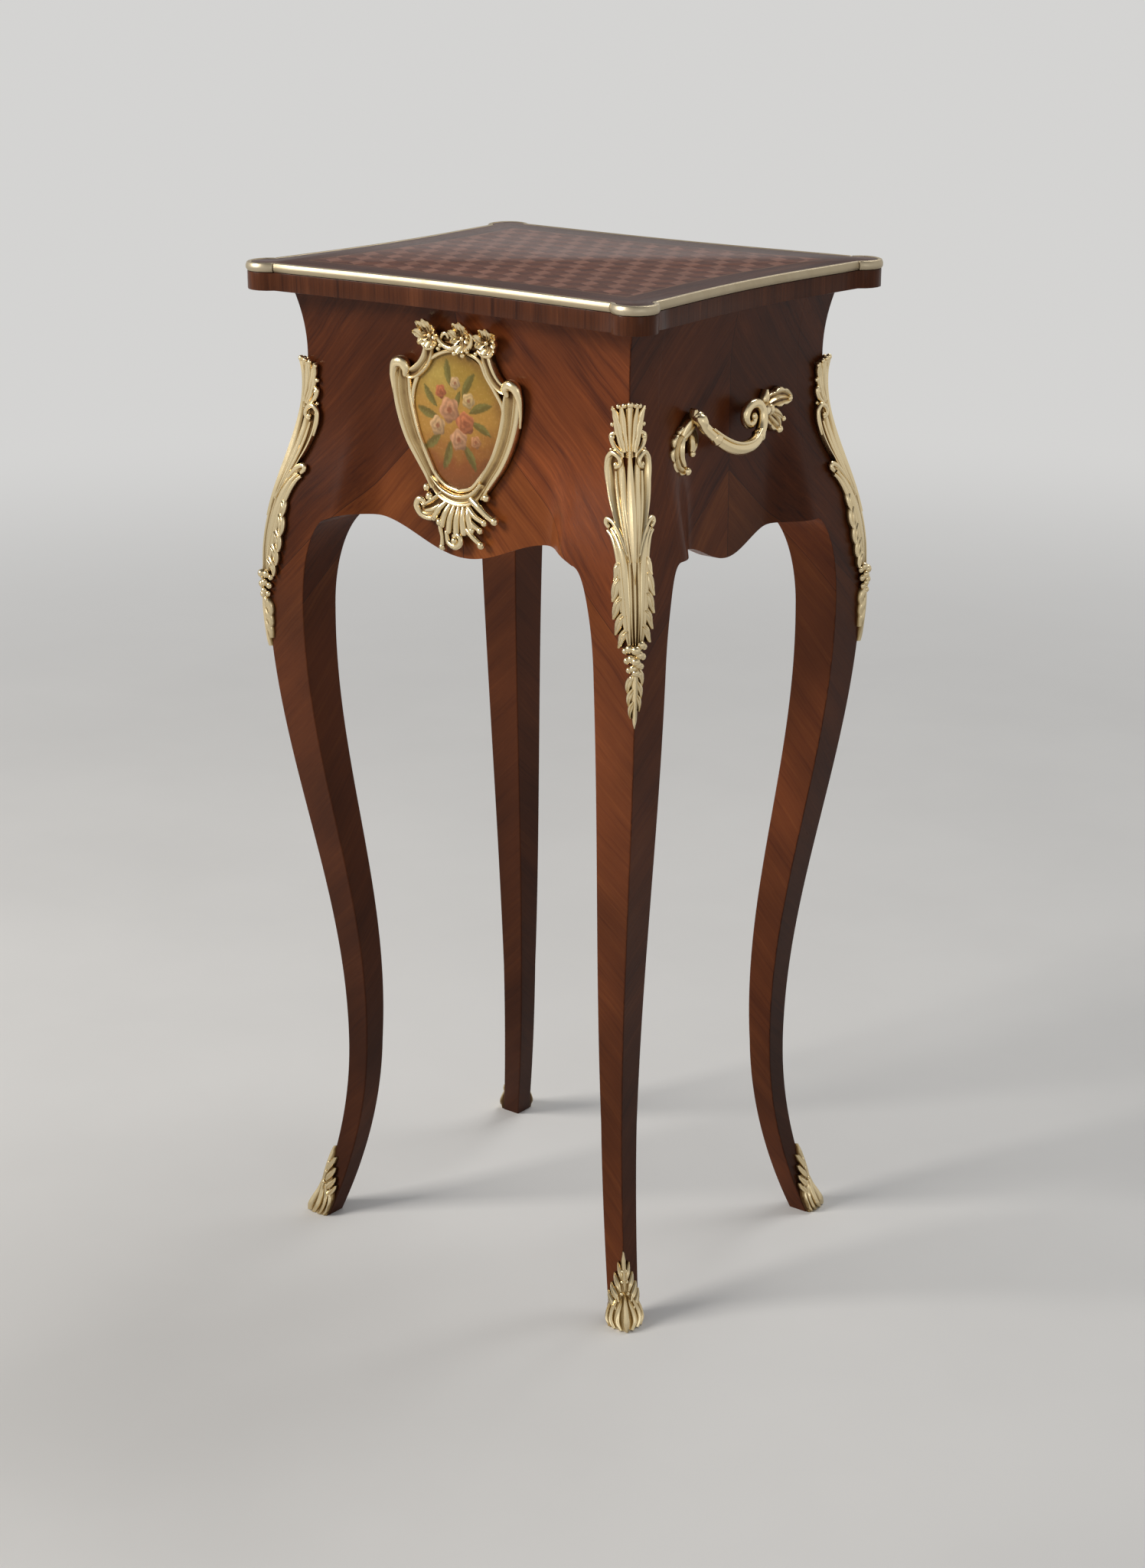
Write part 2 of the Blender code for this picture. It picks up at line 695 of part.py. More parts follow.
def chute_half_width(s):
    """Reach of the mount on each face of the leg, from its top to its tip."""
    return through([(0.00, 0.400), (0.05, 0.660), (0.13, 0.660), (0.21, 0.880), (0.28, 0.780),
                    (0.32, 0.620), (0.36, 1.020), (0.42, 0.760), (0.48, 0.640), (0.57, 0.800),
                    (0.67, 0.740), (0.73, 0.500), (0.77, 0.440), (0.82, 0.320), (0.91, 0.260),
                    (1.00, 0.080)], s) * CHUTE_REACH


def chute_lift(s):
    """How far the top leaf curls away and the scrolls stand off the leg."""
    curl = CHUTE_CURL * max(0.0, 1 - s / 0.07) ** 2
    scroll = 0.35 * CHUTE_RELIEF * math.exp(-((s - 0.36) / 0.035) ** 2)
    return curl + scroll


def corner_section(corner, reach, z, edge, relief, lift):
    """Angle-shaped section that wraps the arris: inside faces first, then the outside."""
    seat = corner + SEAM
    low, mid = seat + edge, seat + 0.75 * relief + lift
    flute, rib = seat + 0.6 * relief + lift, seat + relief + lift
    tip = corner - reach
    half = [(low, tip), (mid, corner - 0.6 * reach), (flute, corner - 0.25 * reach)]
    outside = half + [(rib, rib)] + [(b, a) for a, b in half[::-1]]
    inside = [(tip, seat), (seat, seat), (seat, tip)]
    return [(a, b, z) for a, b in inside + outside]


def chute_mesh():
    top = CASE_TOP - CHUTE_TOP_DROP
    count = 30
    rings = []
    for k in range(count + 1):
        s = k / count
        z = top - s * CHUTE_LENGTH
        thin = through([(0.0, 0.45), (0.2, 1.0), (0.7, 1.0), (1.0, 0.45)], s)
        rings.append(corner_section(arris_offset(z), chute_half_width(s), z, CHUTE_EDGE * thin,
                                    CHUTE_RELIEF * thin, chute_lift(s)))
    return loft_mesh("chute", rings)


add_corner_set("chute", chute_mesh(), GILT)


# Foot mounts

def shoe_half_width(s):
    """Reach on each face, from the floor to the leaf's tip, in shares of its cover."""
    return through([(0.00, 1.00), (0.38, 1.00), (0.45, 0.78), (0.62, 0.66), (0.68, 0.48),
                    (0.82, 0.38), (0.88, 0.24), (1.00, 0.08)], s)


def shoe_mesh():
    count = 16
    rings = []
    for k in range(count + 1):
        s = k / count
        z = s * SHOE_HEIGHT
        cover = leg_width(z) - SEAM
        toe = TOE_OUT * math.exp(-((z - 0.35 * TOE_HEIGHT) / TOE_HEIGHT) ** 2)
        rings.append(corner_section(arris_offset(z), cover * shoe_half_width(s), z,
                                    SHOE_EDGE, SHOE_RELIEF * (1.15 - 0.6 * s), toe))
    return loft_mesh("shoe", rings)


add_corner_set("shoe", shoe_mesh(), GILT)


# Front plaque and its cast frame

def plaque_radius(angle):
    """Shield-shaped opening, as distances from its centre, anticlockwise from +X."""
    degrees = math.degrees(angle) % 360
    return through([(-55, 0.874), (-15, 0.808), (20, 0.830), (50, 0.800), (90, 0.820),
                    (130, 0.820), (170, 0.850), (205, 0.840), (235, 0.896), (270, 1.080),
                    (305, 0.874), (345, 0.808), (380, 0.830)], degrees) * PLAQUE_REACH


def cast_radius(angle):
    """Outer edge of the frame: two scrolls at the shoulders, a crest and a leaf spray."""
    degrees = math.degrees(angle) % 360
    return through([(-40, 1.020), (-8, 1.110), (17, 1.220), (29, 1.190), (42, 1.090),
                    (58, 1.348), (73, 1.340), (88, 1.150), (109, 1.298), (123, 1.276),
                    (133, 1.160), (145, 1.226), (163, 1.254), (192, 1.100), (209, 1.040),
                    (227, 1.080), (236, 1.400), (243, 1.660), (250, 1.540), (261, 1.970),
                    (270, 1.880), (280, 1.890), (290, 1.520), (298, 1.590), (307, 1.240),
                    (320, 1.020), (352, 1.110), (377, 1.220)], degrees) * PLAQUE_REACH


def add_plaque():
    centre = CASE_TOP - PLAQUE_DROP
    count = 64
    sections, edge_back, edge_front = [], [], []
    for k in range(count):
        angle = 2 * math.pi * k / count
        ray = Vector((math.cos(angle), math.sin(angle)))
        inner, outer = plaque_radius(angle), cast_radius(angle)
        width = outer - inner
        rebate = inner + PLAQUE_REBATE
        step = PLAQUE_THICKNESS + 2 * SEAM
        profile = [(rebate, 0.0), (rebate, step), (inner, step), (inner + 0.15 * width, CAST_RELIEF * 0.85),
                   (inner + 0.42 * width, CAST_RELIEF), (inner + 0.75 * width, CAST_RELIEF * 0.6),
                   (outer, CAST_EDGE), (outer, 0.0)]
        section = []
        for radius, rise in profile:
            u, z = PLAQUE_X + radius * ray.x, centre + radius * ray.y
            seat = HALF_Y + panel_face_offset(u, z, POST_X) + SEAM
            section.append((u, -(seat + rise), z))
        sections.append(section)
        u, z = PLAQUE_X + (rebate - SEAM) * ray.x, centre + (rebate - SEAM) * ray.y
        face = HALF_Y + panel_face_offset(u, z, POST_X) + SEAM
        edge_back.append((u, -face, z))
        edge_front.append((u, -(face + PLAQUE_THICKNESS), z))
    add_object("plaque_frame", loft_mesh("plaque_frame", sections, closed=True), GILT, PARTS)

    rings = [edge_back, edge_front]
    middle = Vector((PLAQUE_X, -(HALF_Y + SEAM + PLAQUE_THICKNESS), centre))
    for share in (0.85, 0.55, 0.25):
        crown = Vector((0.0, -PLAQUE_DOME * (1 - share ** 2), 0.0))
        rings.append([middle.lerp(Vector(point), share) + crown for point in edge_front])
    add_object("plaque", loft_mesh("plaque", rings), ENAMEL, PARTS)


add_plaque()


# Side handles

# Each foot: side of the grip, its drop in sags, its leaf's shift along and up in leaf lengths, its tilt in degrees
HANDLE_FEET = ((-1, 0.0, -0.2375, -0.425, -25), (1, 0.20, 0.375, 0.06, -84))


def handle_route():
    """Rod from the left foot, down through the grip and up into the right scroll."""
    half, reach, sag = HANDLE_SPAN / 2, HANDLE_REACH, HANDLE_SAG
    shares = [(-1.00, 0.00, 0.15), (-1.04, 0.12, 0.45), (-1.04, 0.00, 0.66), (-0.86, -0.36, 0.79),
              (-0.59, -0.80, 0.95), (-0.16, -1.00, 1.00), (0.27, -0.98, 0.95), (0.57, -0.64, 0.84),
              (0.66, -0.28, 0.68), (0.82, -0.16, 0.42), (1.00, -0.20, 0.15)]
    return [(HANDLE_SHIFT + half * along, sag * up, reach * out) for along, up, out in shares]


def tube_mesh(name, points, radius):
    """Round tube along a smooth curve, as one closed mesh."""
    curve = bpy.data.curves.new(name, "CURVE")
    curve.dimensions = "3D"
    curve.bevel_depth = radius
    curve.bevel_resolution = 2
    curve.resolution_u = 3
    curve.use_fill_caps = True
    spline = curve.splines.new("NURBS")
    spline.points.add(len(points) - 1)
    for knot, point in zip(spline.points, points):
        knot.co = (*point, 1.0)
    spline.use_endpoint_u = True
    spline.order_u = 4
    holder = bpy.data.objects.new(name, curve)
    bpy.context.scene.collection.objects.link(holder)
    bpy.context.view_layer.update()
    mesh = bpy.data.meshes.new_from_object(holder.evaluated_get(bpy.context.evaluated_depsgraph_get()))
    bpy.data.objects.remove(holder, do_unlink=True)
    bm = bmesh.new()
    bm.from_mesh(mesh)
    bmesh.ops.remove_doubles(bm, verts=bm.verts, dist=0.00001)
    bpy.data.meshes.remove(mesh)
    return mesh_from(bm, name, smooth_angle=50)


def leaf_mesh(name, centre, tilt):
    """Low domed leaf that lies on the panel, in the panel's own (along, up, out) frame."""
    bm = bmesh.new()
    bmesh.ops.create_uvsphere(bm, u_segments=14, v_segments=8, radius=1.0)
    size = (FOOT_LEAF_WIDTH / 2, FOOT_LEAF_LENGTH / 2, FOOT_LEAF_RELIEF)
    bmesh.ops.scale(bm, vec=size, verts=bm.verts)
    below = [v for v in bm.verts if v.co.z < -SEAM]
    for vert in below:
        vert.co.z = 0.0
    bmesh.ops.remove_doubles(bm, verts=bm.verts, dist=0.00002)
    turn = Matrix.Rotation(tilt, 4, "Z")
    bmesh.ops.transform(bm, matrix=Matrix.Translation(centre) @ turn, verts=bm.verts)
    level = CASE_TOP - HANDLE_DROP
    for vert in bm.verts:
        vert.co.z += panel_face_offset(vert.co.x, level + vert.co.y, POST_Y)
    return mesh_from(bm, name, smooth_angle=50)


def on_side(side, along, up, out):
    """World point on a side panel: along it, up from the handle's level, out from its face."""
    level = CASE_TOP - HANDLE_DROP
    if side == "right":
        return Vector((HALF_X + out, along, level + up))
    return Vector((-HALF_X - out, -along, level + up))


def add_handle(side, panel):
    name = f"handle_{side}"
    turn_to_side = Matrix([on_side(side, *axis) - on_side(side, 0, 0, 0)
                           for axis in ((1, 0, 0), (0, 1, 0), (0, 0, 1))]).transposed().to_4x4()
    seat = Matrix.Translation(on_side(side, 0, 0, SEAM)) @ turn_to_side

    def placed(mesh):
        mesh.transform(seat)
        return mesh

    handle = add_object(name, placed(tube_mesh(name, handle_route(), HANDLE_ROD)), GILT, PARTS)
    for k, (foot, drop, leaf_along, leaf_up, tilt) in enumerate(HANDLE_FEET):
        along, up = HANDLE_SHIFT + foot * HANDLE_SPAN / 2, -drop * HANDLE_SAG
        leaf_at = (along + leaf_along * FOOT_LEAF_LENGTH, up + leaf_up * FOOT_LEAF_LENGTH, 0.0)
        fuse(handle, placed(leaf_mesh(f"{name}_leaf_{k}", leaf_at, math.radians(tilt))))
        boss_low = on_side(side, along, up, 0.3 * FOOT_LEAF_RELIEF)
        boss_top = on_side(side, along, up, 2 * HANDLE_ROD)
        fuse(handle, rod_mesh(f"{name}_boss_{k}", boss_low, boss_top, BOSS_RADIUS, sides=14))
        stud_low = on_side(side, along, up, -(PANEL_THICKNESS + 2 * SEAM + NUT_HEIGHT))
        stud_top = on_side(side, along, up, 0.5 * FOOT_LEAF_RELIEF)
        fuse(handle, rod_mesh(f"{name}_stud_{k}", stud_low, stud_top, STUD_RADIUS, sides=12))
        hole_in = on_side(side, along, up, -2 * PANEL_THICKNESS)
        hole_out = on_side(side, along, up, 2 * PANEL_THICKNESS)
        cut(panel, rod_mesh(f"{name}_hole_{k}", hole_in, hole_out, STUD_RADIUS + SEAM, sides=12))
        nut_face = on_side(side, along, up, -(PANEL_THICKNESS + SEAM))
        nut_back = on_side(side, along, up, -(PANEL_THICKNESS + SEAM + NUT_HEIGHT))
        place = "front" if (k == 0) == (side == "right") else "back"
        nut_name = f"handle_nut_{side}_{place}"
        nut = add_object(nut_name, rod_mesh(nut_name, nut_face, nut_back, NUT_RADIUS, sides=6), BRASS, PARTS)
        cut(nut, rod_mesh(f"{nut_name}_bore", hole_in, hole_out, STUD_RADIUS + SEAM, sides=12))


add_handle("right", right_panel)
add_handle("left", left_panel)
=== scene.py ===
import math

import bmesh
import bpy
import numpy as np
from mathutils import Matrix, Vector, noise


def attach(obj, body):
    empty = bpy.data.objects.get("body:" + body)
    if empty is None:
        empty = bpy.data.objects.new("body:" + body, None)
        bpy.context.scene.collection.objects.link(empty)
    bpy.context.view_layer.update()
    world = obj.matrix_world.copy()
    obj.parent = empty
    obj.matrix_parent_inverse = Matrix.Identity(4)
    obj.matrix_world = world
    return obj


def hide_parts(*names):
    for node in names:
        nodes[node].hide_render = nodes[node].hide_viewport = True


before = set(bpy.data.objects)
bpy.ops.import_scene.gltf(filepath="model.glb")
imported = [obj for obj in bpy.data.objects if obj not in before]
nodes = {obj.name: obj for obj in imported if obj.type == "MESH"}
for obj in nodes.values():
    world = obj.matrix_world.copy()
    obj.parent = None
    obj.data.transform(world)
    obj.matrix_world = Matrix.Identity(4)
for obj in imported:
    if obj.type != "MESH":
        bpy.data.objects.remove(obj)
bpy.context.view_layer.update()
corners = ("front_right", "front_left", "back_left", "back_right")
mm = 0.001
print("frame loaded:", len(nodes), "nodes")


# small helpers

facingUp = 0.7  # a face whose normal leans this far to an axis belongs to it

# bevel width and the angle it starts at, by kind of piece
easing = {"board": (0.0004, 30), "lid": (0.0004, 50), "rim": (0.0003, 50), "hinge": (0.00015, 40),
          "nut": (0.0003, 25), "mirror": (0.0006, 40), "merge": 0.00001, "flat": 0.05}


def activate(piece):
    bpy.ops.object.select_all(action="DESELECT")
    piece.select_set(True)
    bpy.context.view_layer.objects.active = piece


def applyModifier(piece, kind, **settings):
    modifier = piece.modifiers.new(kind.title(), kind)
    for key, value in settings.items():
        setattr(modifier, key, value)
    activate(piece)
    bpy.ops.object.modifier_apply(modifier=modifier.name)


def camel(name):
    first, *rest = name.split("_")
    return first + "".join(word.title() for word in rest)


def signsOf(corner):
    return 1 if corner.endswith("right") else -1, 1 if corner.startswith("back") else -1


def linked(name, mesh):
    piece = bpy.data.objects.new(name, mesh)
    bpy.context.scene.collection.objects.link(piece)
    return piece


def mergedCopy(nodeName, flatten=True):  # a CAD node's mesh, its doubled points merged, its quads back
    piece = linked(camel(nodeName), nodes[nodeName].data.copy())
    piece.data.materials.clear()
    activate(piece)
    bpy.ops.object.mode_set(mode="EDIT")
    bpy.ops.mesh.select_all(action="SELECT")
    bpy.ops.mesh.remove_doubles(threshold=easing["merge"])
    if flatten:
        bpy.ops.mesh.dissolve_limited(angle_limit=math.radians(easing["flat"]))
        bpy.ops.mesh.tris_convert_to_quads()
    bpy.ops.object.mode_set(mode="OBJECT")
    return piece


def easedCopy(nodeName, kind):  # a copy whose sharp edges are rounded
    width, limit = easing[kind]
    piece = mergedCopy(nodeName)
    applyModifier(piece, "BEVEL", width=width, segments=2, limit_method="ANGLE", angle_limit=math.radians(limit))
    return piece


def pieceFrom(bm, name):  # a new object from a finished bmesh
    bmesh.ops.recalc_face_normals(bm, faces=bm.faces)
    mesh = bpy.data.meshes.new(name)
    bm.to_mesh(mesh)
    bm.free()
    return linked(name, mesh)


def readOut(items, key, width=1, kind=float):  # one property of a mesh's items
    values = np.empty(len(items) * width, kind)
    items.foreach_get(key, values)
    return values.reshape(-1, width) if width > 1 else values


def settle(piece, body, slot, materials, replaced, smooth):
    activate(piece)
    bpy.ops.object.shade_smooth_by_angle(angle=math.radians(smooth))
    piece.data.materials.clear()
    for material in materials:
        piece.data.materials.append(material)
    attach(piece, body)
    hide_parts(*replaced)


def throughPoints(points, count):  # smooth rows through a few points, by chord length
    pts = np.array(points, float)
    steps = np.linalg.norm(np.diff(pts[:, :2], axis=0), axis=1)
    knots = np.concatenate([[0.0], np.cumsum(np.maximum(steps, 1e-6))])
    knots /= knots[-1]
    slopes = np.gradient(pts, knots, axis=0)
    share = np.linspace(0, 1, count)
    k = np.clip(np.searchsorted(knots, share, side="right") - 1, 0, len(pts) - 2)
    span = (knots[k + 1] - knots[k])[:, None]
    t = (share - knots[k])[:, None] / span
    return ((2 * t ** 3 - 3 * t ** 2 + 1) * pts[k] + (t ** 3 - 2 * t ** 2 + t) * span * slopes[k]
            + (3 * t ** 2 - 2 * t ** 3) * pts[k + 1] + (t ** 3 - t ** 2) * span * slopes[k + 1])


# node helpers

def newGroup(name, inputs, outputs):
    group = bpy.data.node_groups.new(name, "ShaderNodeTree")
    for socketName, kind in inputs:
        group.interface.new_socket(socketName, in_out="INPUT", socket_type="NodeSocket" + kind)
    for socketName, kind in outputs:
        group.interface.new_socket(socketName, in_out="OUTPUT", socket_type="NodeSocket" + kind)
    return group, group.nodes.new("NodeGroupInput"), group.nodes.new("NodeGroupOutput")


def feed(tree, socket, value):
    if isinstance(value, bpy.types.NodeSocket):
        tree.links.new(value, socket)
    else:
        socket.default_value = value


def feedAll(tree, node, values):  # by the inputs' names or numbers
    for name, value in values.items():
        feed(tree, node.inputs[name], value)
    return node


def makeNode(tree, kind, *values, **settings):  # values go to the inputs in order
    node = tree.nodes.new("ShaderNode" + kind)
    for key, value in settings.items():
        setattr(node, key, value)
    for socket, value in zip(node.inputs, values):
        feed(tree, socket, value)
    return node


def calc(tree, operation, *values):
    return makeNode(tree, "Math", *values, operation=operation).outputs[0]


def add(tree, a, b):
    return calc(tree, "ADD", a, b)


def sub(tree, a, b):
    return calc(tree, "SUBTRACT", a, b)


def mul(tree, a, b):
    return calc(tree, "MULTIPLY", a, b)


def vectorCalc(tree, operation, *values, output=0):
    return makeNode(tree, "VectorMath", *values, operation=operation).outputs[output]


def mixColour(tree, share, a, b, blend="MIX"):
    node = makeNode(tree, "Mix", data_type="RGBA", blend_type=blend)
    return feedAll(tree, node, {"Factor": share, "A": a, "B": b}).outputs["Result"]


def shaded(tree, colour, value):  # a colour times a brightness
    return mixColour(tree, 1.0, colour, combine(tree, value, value, value), "MULTIPLY")


def ramp(tree, value, low, high, start=0.0, end=1.0):
    return makeNode(tree, "MapRange", value, low, high, start, end, interpolation_type="SMOOTHSTEP").outputs[0]


def between(tree, share, a, b):
    return calc(tree, "MULTIPLY_ADD", share, sub(tree, b, a), a)


def noiseOf(tree, vector, scale, detail=3.0, rough=0.55):
    values = {"Vector": vector, "Scale": scale, "Detail": detail, "Roughness": rough}
    return feedAll(tree, makeNode(tree, "TexNoise"), values).outputs["Fac"]


def combine(tree, x, y, z):
    return makeNode(tree, "CombineXYZ", x, y, z).outputs[0]


def objectPoint(tree):
    return makeNode(tree, "TexCoord").outputs["Object"]


def partsOf(tree, vector):
    return makeNode(tree, "SeparateXYZ", vector).outputs


def useGroup(tree, group, **values):
    return feedAll(tree, makeNode(tree, "Group", node_tree=group), values)


def bump(tree, height, strength, distance):
    values = {"Height": height, "Strength": strength, "Distance": distance}
    return feedAll(tree, makeNode(tree, "Bump"), values).outputs[0]


def attributeOf(tree, name):
    return makeNode(tree, "Attribute", attribute_name=name).outputs


def seenDirectly(tree):  # 1 for the camera, for reflections and through glass
    path = makeNode(tree, "LightPath").outputs
    bounced = calc(tree, "MAXIMUM", path["Is Glossy Ray"], path["Is Transmission Ray"])
    return calc(tree, "MAXIMUM", path["Is Camera Ray"], bounced)


def newMaterial(name, **values):
    material = bpy.data.materials.new(name)
    material.use_nodes = True
    shader = material.node_tree.nodes["Principled BSDF"]
    for socketName, value in values.items():
        shader.inputs[socketName].default_value = value
    return material, material.node_tree, shader


# wood grain, shared by every wood here; its streaks run along x
grainLook = {"wander": 9.0, "drift": 0.012, "broad": (4.0, 60.0, 60.0), "fine": (14.0, 520.0, 520.0),
             "pore": (90.0, 1900.0, 1900.0), "broadShare": 0.58, "toMid": (0.30, 0.51), "toLight": (0.49, 0.70),
             "pores": (0.60, 0.74), "poreCover": 0.45, "poreGloss": 0.16, "wanderGloss": 0.10, "fineHeight": 0.35}


def makeGrain():
    inputs = [("Grain", "Vector"), ("Dark", "Color"), ("Mid", "Color"), ("Light", "Color"), ("Streak", "Float")]
    outputs = [("Color", "Color"), ("Height", "Float"), ("Gloss", "Float")]
    group, given, out = newGroup("woodGrain", inputs, outputs)
    grain = given.outputs["Grain"]

    def streaks(scale, detail, rough=0.55):
        return noiseOf(group, vectorCalc(group, "MULTIPLY", scaled, grainLook[scale]), 1.0, detail, rough)

    wander = noiseOf(group, grain, grainLook["wander"], 2.0)
    shifted = vectorCalc(group, "ADD", grain, combine(group, 0.0, mul(group, wander, grainLook["drift"]), 0.0))
    scaled = vectorCalc(group, "SCALE", shifted)
    feed(group, scaled.node.inputs["Scale"], given.outputs["Streak"])
    broad, fine, pore = streaks("broad", 4.0, 0.6), streaks("fine", 3.0, 0.6), streaks("pore", 1.0)
    tone = add(group, mul(group, broad, grainLook["broadShare"]), mul(group, fine, 1 - grainLook["broadShare"]))
    lower = mixColour(group, ramp(group, tone, *grainLook["toMid"]), given.outputs["Dark"], given.outputs["Mid"])
    upper = mixColour(group, ramp(group, tone, *grainLook["toLight"]), lower, given.outputs["Light"])
    pores = ramp(group, pore, *grainLook["pores"])
    darkened = mixColour(group, mul(group, pores, grainLook["poreCover"]), upper, given.outputs["Dark"])
    gloss = calc(group, "MULTIPLY_ADD", pores, grainLook["poreGloss"], mul(group, wander, grainLook["wanderGloss"]))
    height = sub(group, mul(group, fine, grainLook["fineHeight"]), pores)
    feedAll(group, out, {"Color": darkened, "Height": height, "Gloss": gloss})
    return group


woodGrain = makeGrain()

# kingwood: upper fields darker, the pieces below the joint lighter and more orange
veneer = {
    "dark": (0.044, 0.011, 0.005, 1), "mid": (0.108, 0.027, 0.008, 1), "light": (0.165, 0.043, 0.012, 1),
    "apronDark": (0.088, 0.021, 0.006, 1), "apronMid": (0.155, 0.041, 0.010, 1),
    "apronLight": (0.225, 0.066, 0.016, 1), "legDark": (0.092, 0.023, 0.008, 1),
    "legMid": (0.140, 0.037, 0.011, 1), "legLight": (0.185, 0.052, 0.015, 1),
    "joint": (0.020, 0.008, 0.005, 1), "turn": 45.0, "roughness": 0.26, "seam": 0.0002, "legZone": (0.555, 0.470),
    "otherLeaf": 0.23, "otherField": 0.37, "flatten": 0.3, "jointEdge": (0.0005, 0.0002), "jointCover": 0.7,
    "clouds": 9.0, "cloudy": (0.3, 0.7, 0.74, 1.20), "darkDown": (0.10, 0.52, 0.52, 1.0),
}

# brightness of the left and right leaf, or the front and back one on the sides: a painted sheen that lights one half
# more than the other, and on the sides painted shade as well
frontLeafSheen = {"upper": (0.74, 1.62), "apron": (1.04, 1.26), "leg": (0.70, 1.36)}
sideLeafSheenAndShade = {"upper": (0.90, 0.72), "apron": (0.84, 0.66), "leg": (0.84, 0.66)}

# bump is strength and depth
polished = {"shine": 0.10, "coat": 0.04, "coatRoughness": 0.12, "bump": (0.25, 0.00012)}


def polish(tree, shader, wood, base, colour, coat=polished["coat"], shine=polished["shine"]):
    feedAll(tree, shader, {
        "Base Color": colour, "Roughness": add(tree, wood.outputs["Gloss"], base),
        "Specular IOR Level": shine, "Coat Weight": coat, "Coat Roughness": polished["coatRoughness"],
        "Normal": bump(tree, wood.outputs["Height"], *polished["bump"])})


def makeCaseVeneer(name, across, jointTop, jointSlope, leaves):  # mirrored halves, grain falling outwards
    material, tree, shader = newMaterial(name)
    point = objectPoint(tree)
    x, y, z = partsOf(tree, point)
    side, depth = (x, y) if across == "x" else (y, x)
    u = calc(tree, "ABSOLUTE", side)
    turn = math.radians(veneer["turn"])
    along = sub(tree, mul(tree, u, math.cos(turn)), mul(tree, z, math.sin(turn)))
    over = add(tree, mul(tree, u, math.sin(turn)), mul(tree, z, math.cos(turn)))
    line = sub(tree, add(tree, z, mul(tree, u, jointSlope)), jointTop)
    apron = ramp(tree, line, veneer["seam"], -veneer["seam"])
    leg = ramp(tree, z, *veneer["legZone"])
    # the two halves come from different leaves
    rightLeaf = calc(tree, "GREATER_THAN", side, 0.0)
    over = add(tree, calc(tree, "MULTIPLY_ADD", apron, veneer["otherField"], over),
               mul(tree, rightLeaf, veneer["otherLeaf"]))
    grain = combine(tree, along, over, mul(tree, depth, veneer["flatten"]))
    tones = []
    for shade in ("Dark", "Mid", "Light"):
        lower = mixColour(tree, leg, veneer["apron" + shade], veneer["leg" + shade])
        tones.append(mixColour(tree, apron, veneer[shade.lower()], lower))
    wood = useGroup(tree, woodGrain, Grain=grain, Dark=tones[0], Mid=tones[1], Light=tones[2], Streak=1.0)
    nearLine = calc(tree, "MINIMUM", calc(tree, "ABSOLUTE", line), u)
    joint = ramp(tree, nearLine, *veneer["jointEdge"])
    cloud = ramp(tree, noiseOf(tree, point, veneer["clouds"], 2.0), *veneer["cloudy"])
    cloud = mul(tree, cloud, ramp(tree, z, *veneer["darkDown"]))
    # each half's brightness is painted sheen, and on the sides painted shade as well
    tone = {field: ramp(tree, rightLeaf, 0.0, 1.0, *pair) for field, pair in leaves.items()}
    cloud = mul(tree, cloud, between(tree, apron, tone["upper"], between(tree, leg, tone["apron"], tone["leg"])))
    toned = shaded(tree, wood.outputs["Color"], cloud)
    colour = mixColour(tree, mul(tree, joint, veneer["jointCover"]), toned, veneer["joint"])
    polish(tree, shader, wood, veneer["roughness"], colour)
    return material


frontVeneer = makeCaseVeneer("frontVeneer", "x", 0.6690, 0.95, frontLeafSheen)
sideVeneer = makeCaseVeneer("sideVeneer", "y", 0.6130, 0.80, sideLeafSheenAndShade)

# lid: cube parquetry in a dark border, and cross-banded edges
parquet = {
    "cube": 0.0225, "border": 0.0275, "edgeX": 0.1690, "edgeY": 0.1425, "cuspX": 0.149, "cuspY": 0.120,
    "frontHollow": 0.0062, "sideHollow": 0.0075,
    "tones": ((0.200, 0.086, 0.056, 1), (0.128, 0.042, 0.022, 1), (0.088, 0.028, 0.016, 1)),
    "borderDark": (0.030, 0.011, 0.009, 1), "borderMid": (0.066, 0.026, 0.018, 1),
    "borderLight": (0.112, 0.044, 0.027, 1), "line": (0.17, 0.085, 0.045, 1), "lineEdge": (0.0009, 0.0004),
    "lineCover": 0.8, "seam": 0.0002, "curve": 0.4,
    "joint": (0.478, 0.494), "jointCover": 0.55, "darker": 0.55, "lighter": 1.45, "streak": 1.6, "bandStreak": 1.2,
    "roughness": 0.26, "coat": 0.02, "shine": 0.05,
}


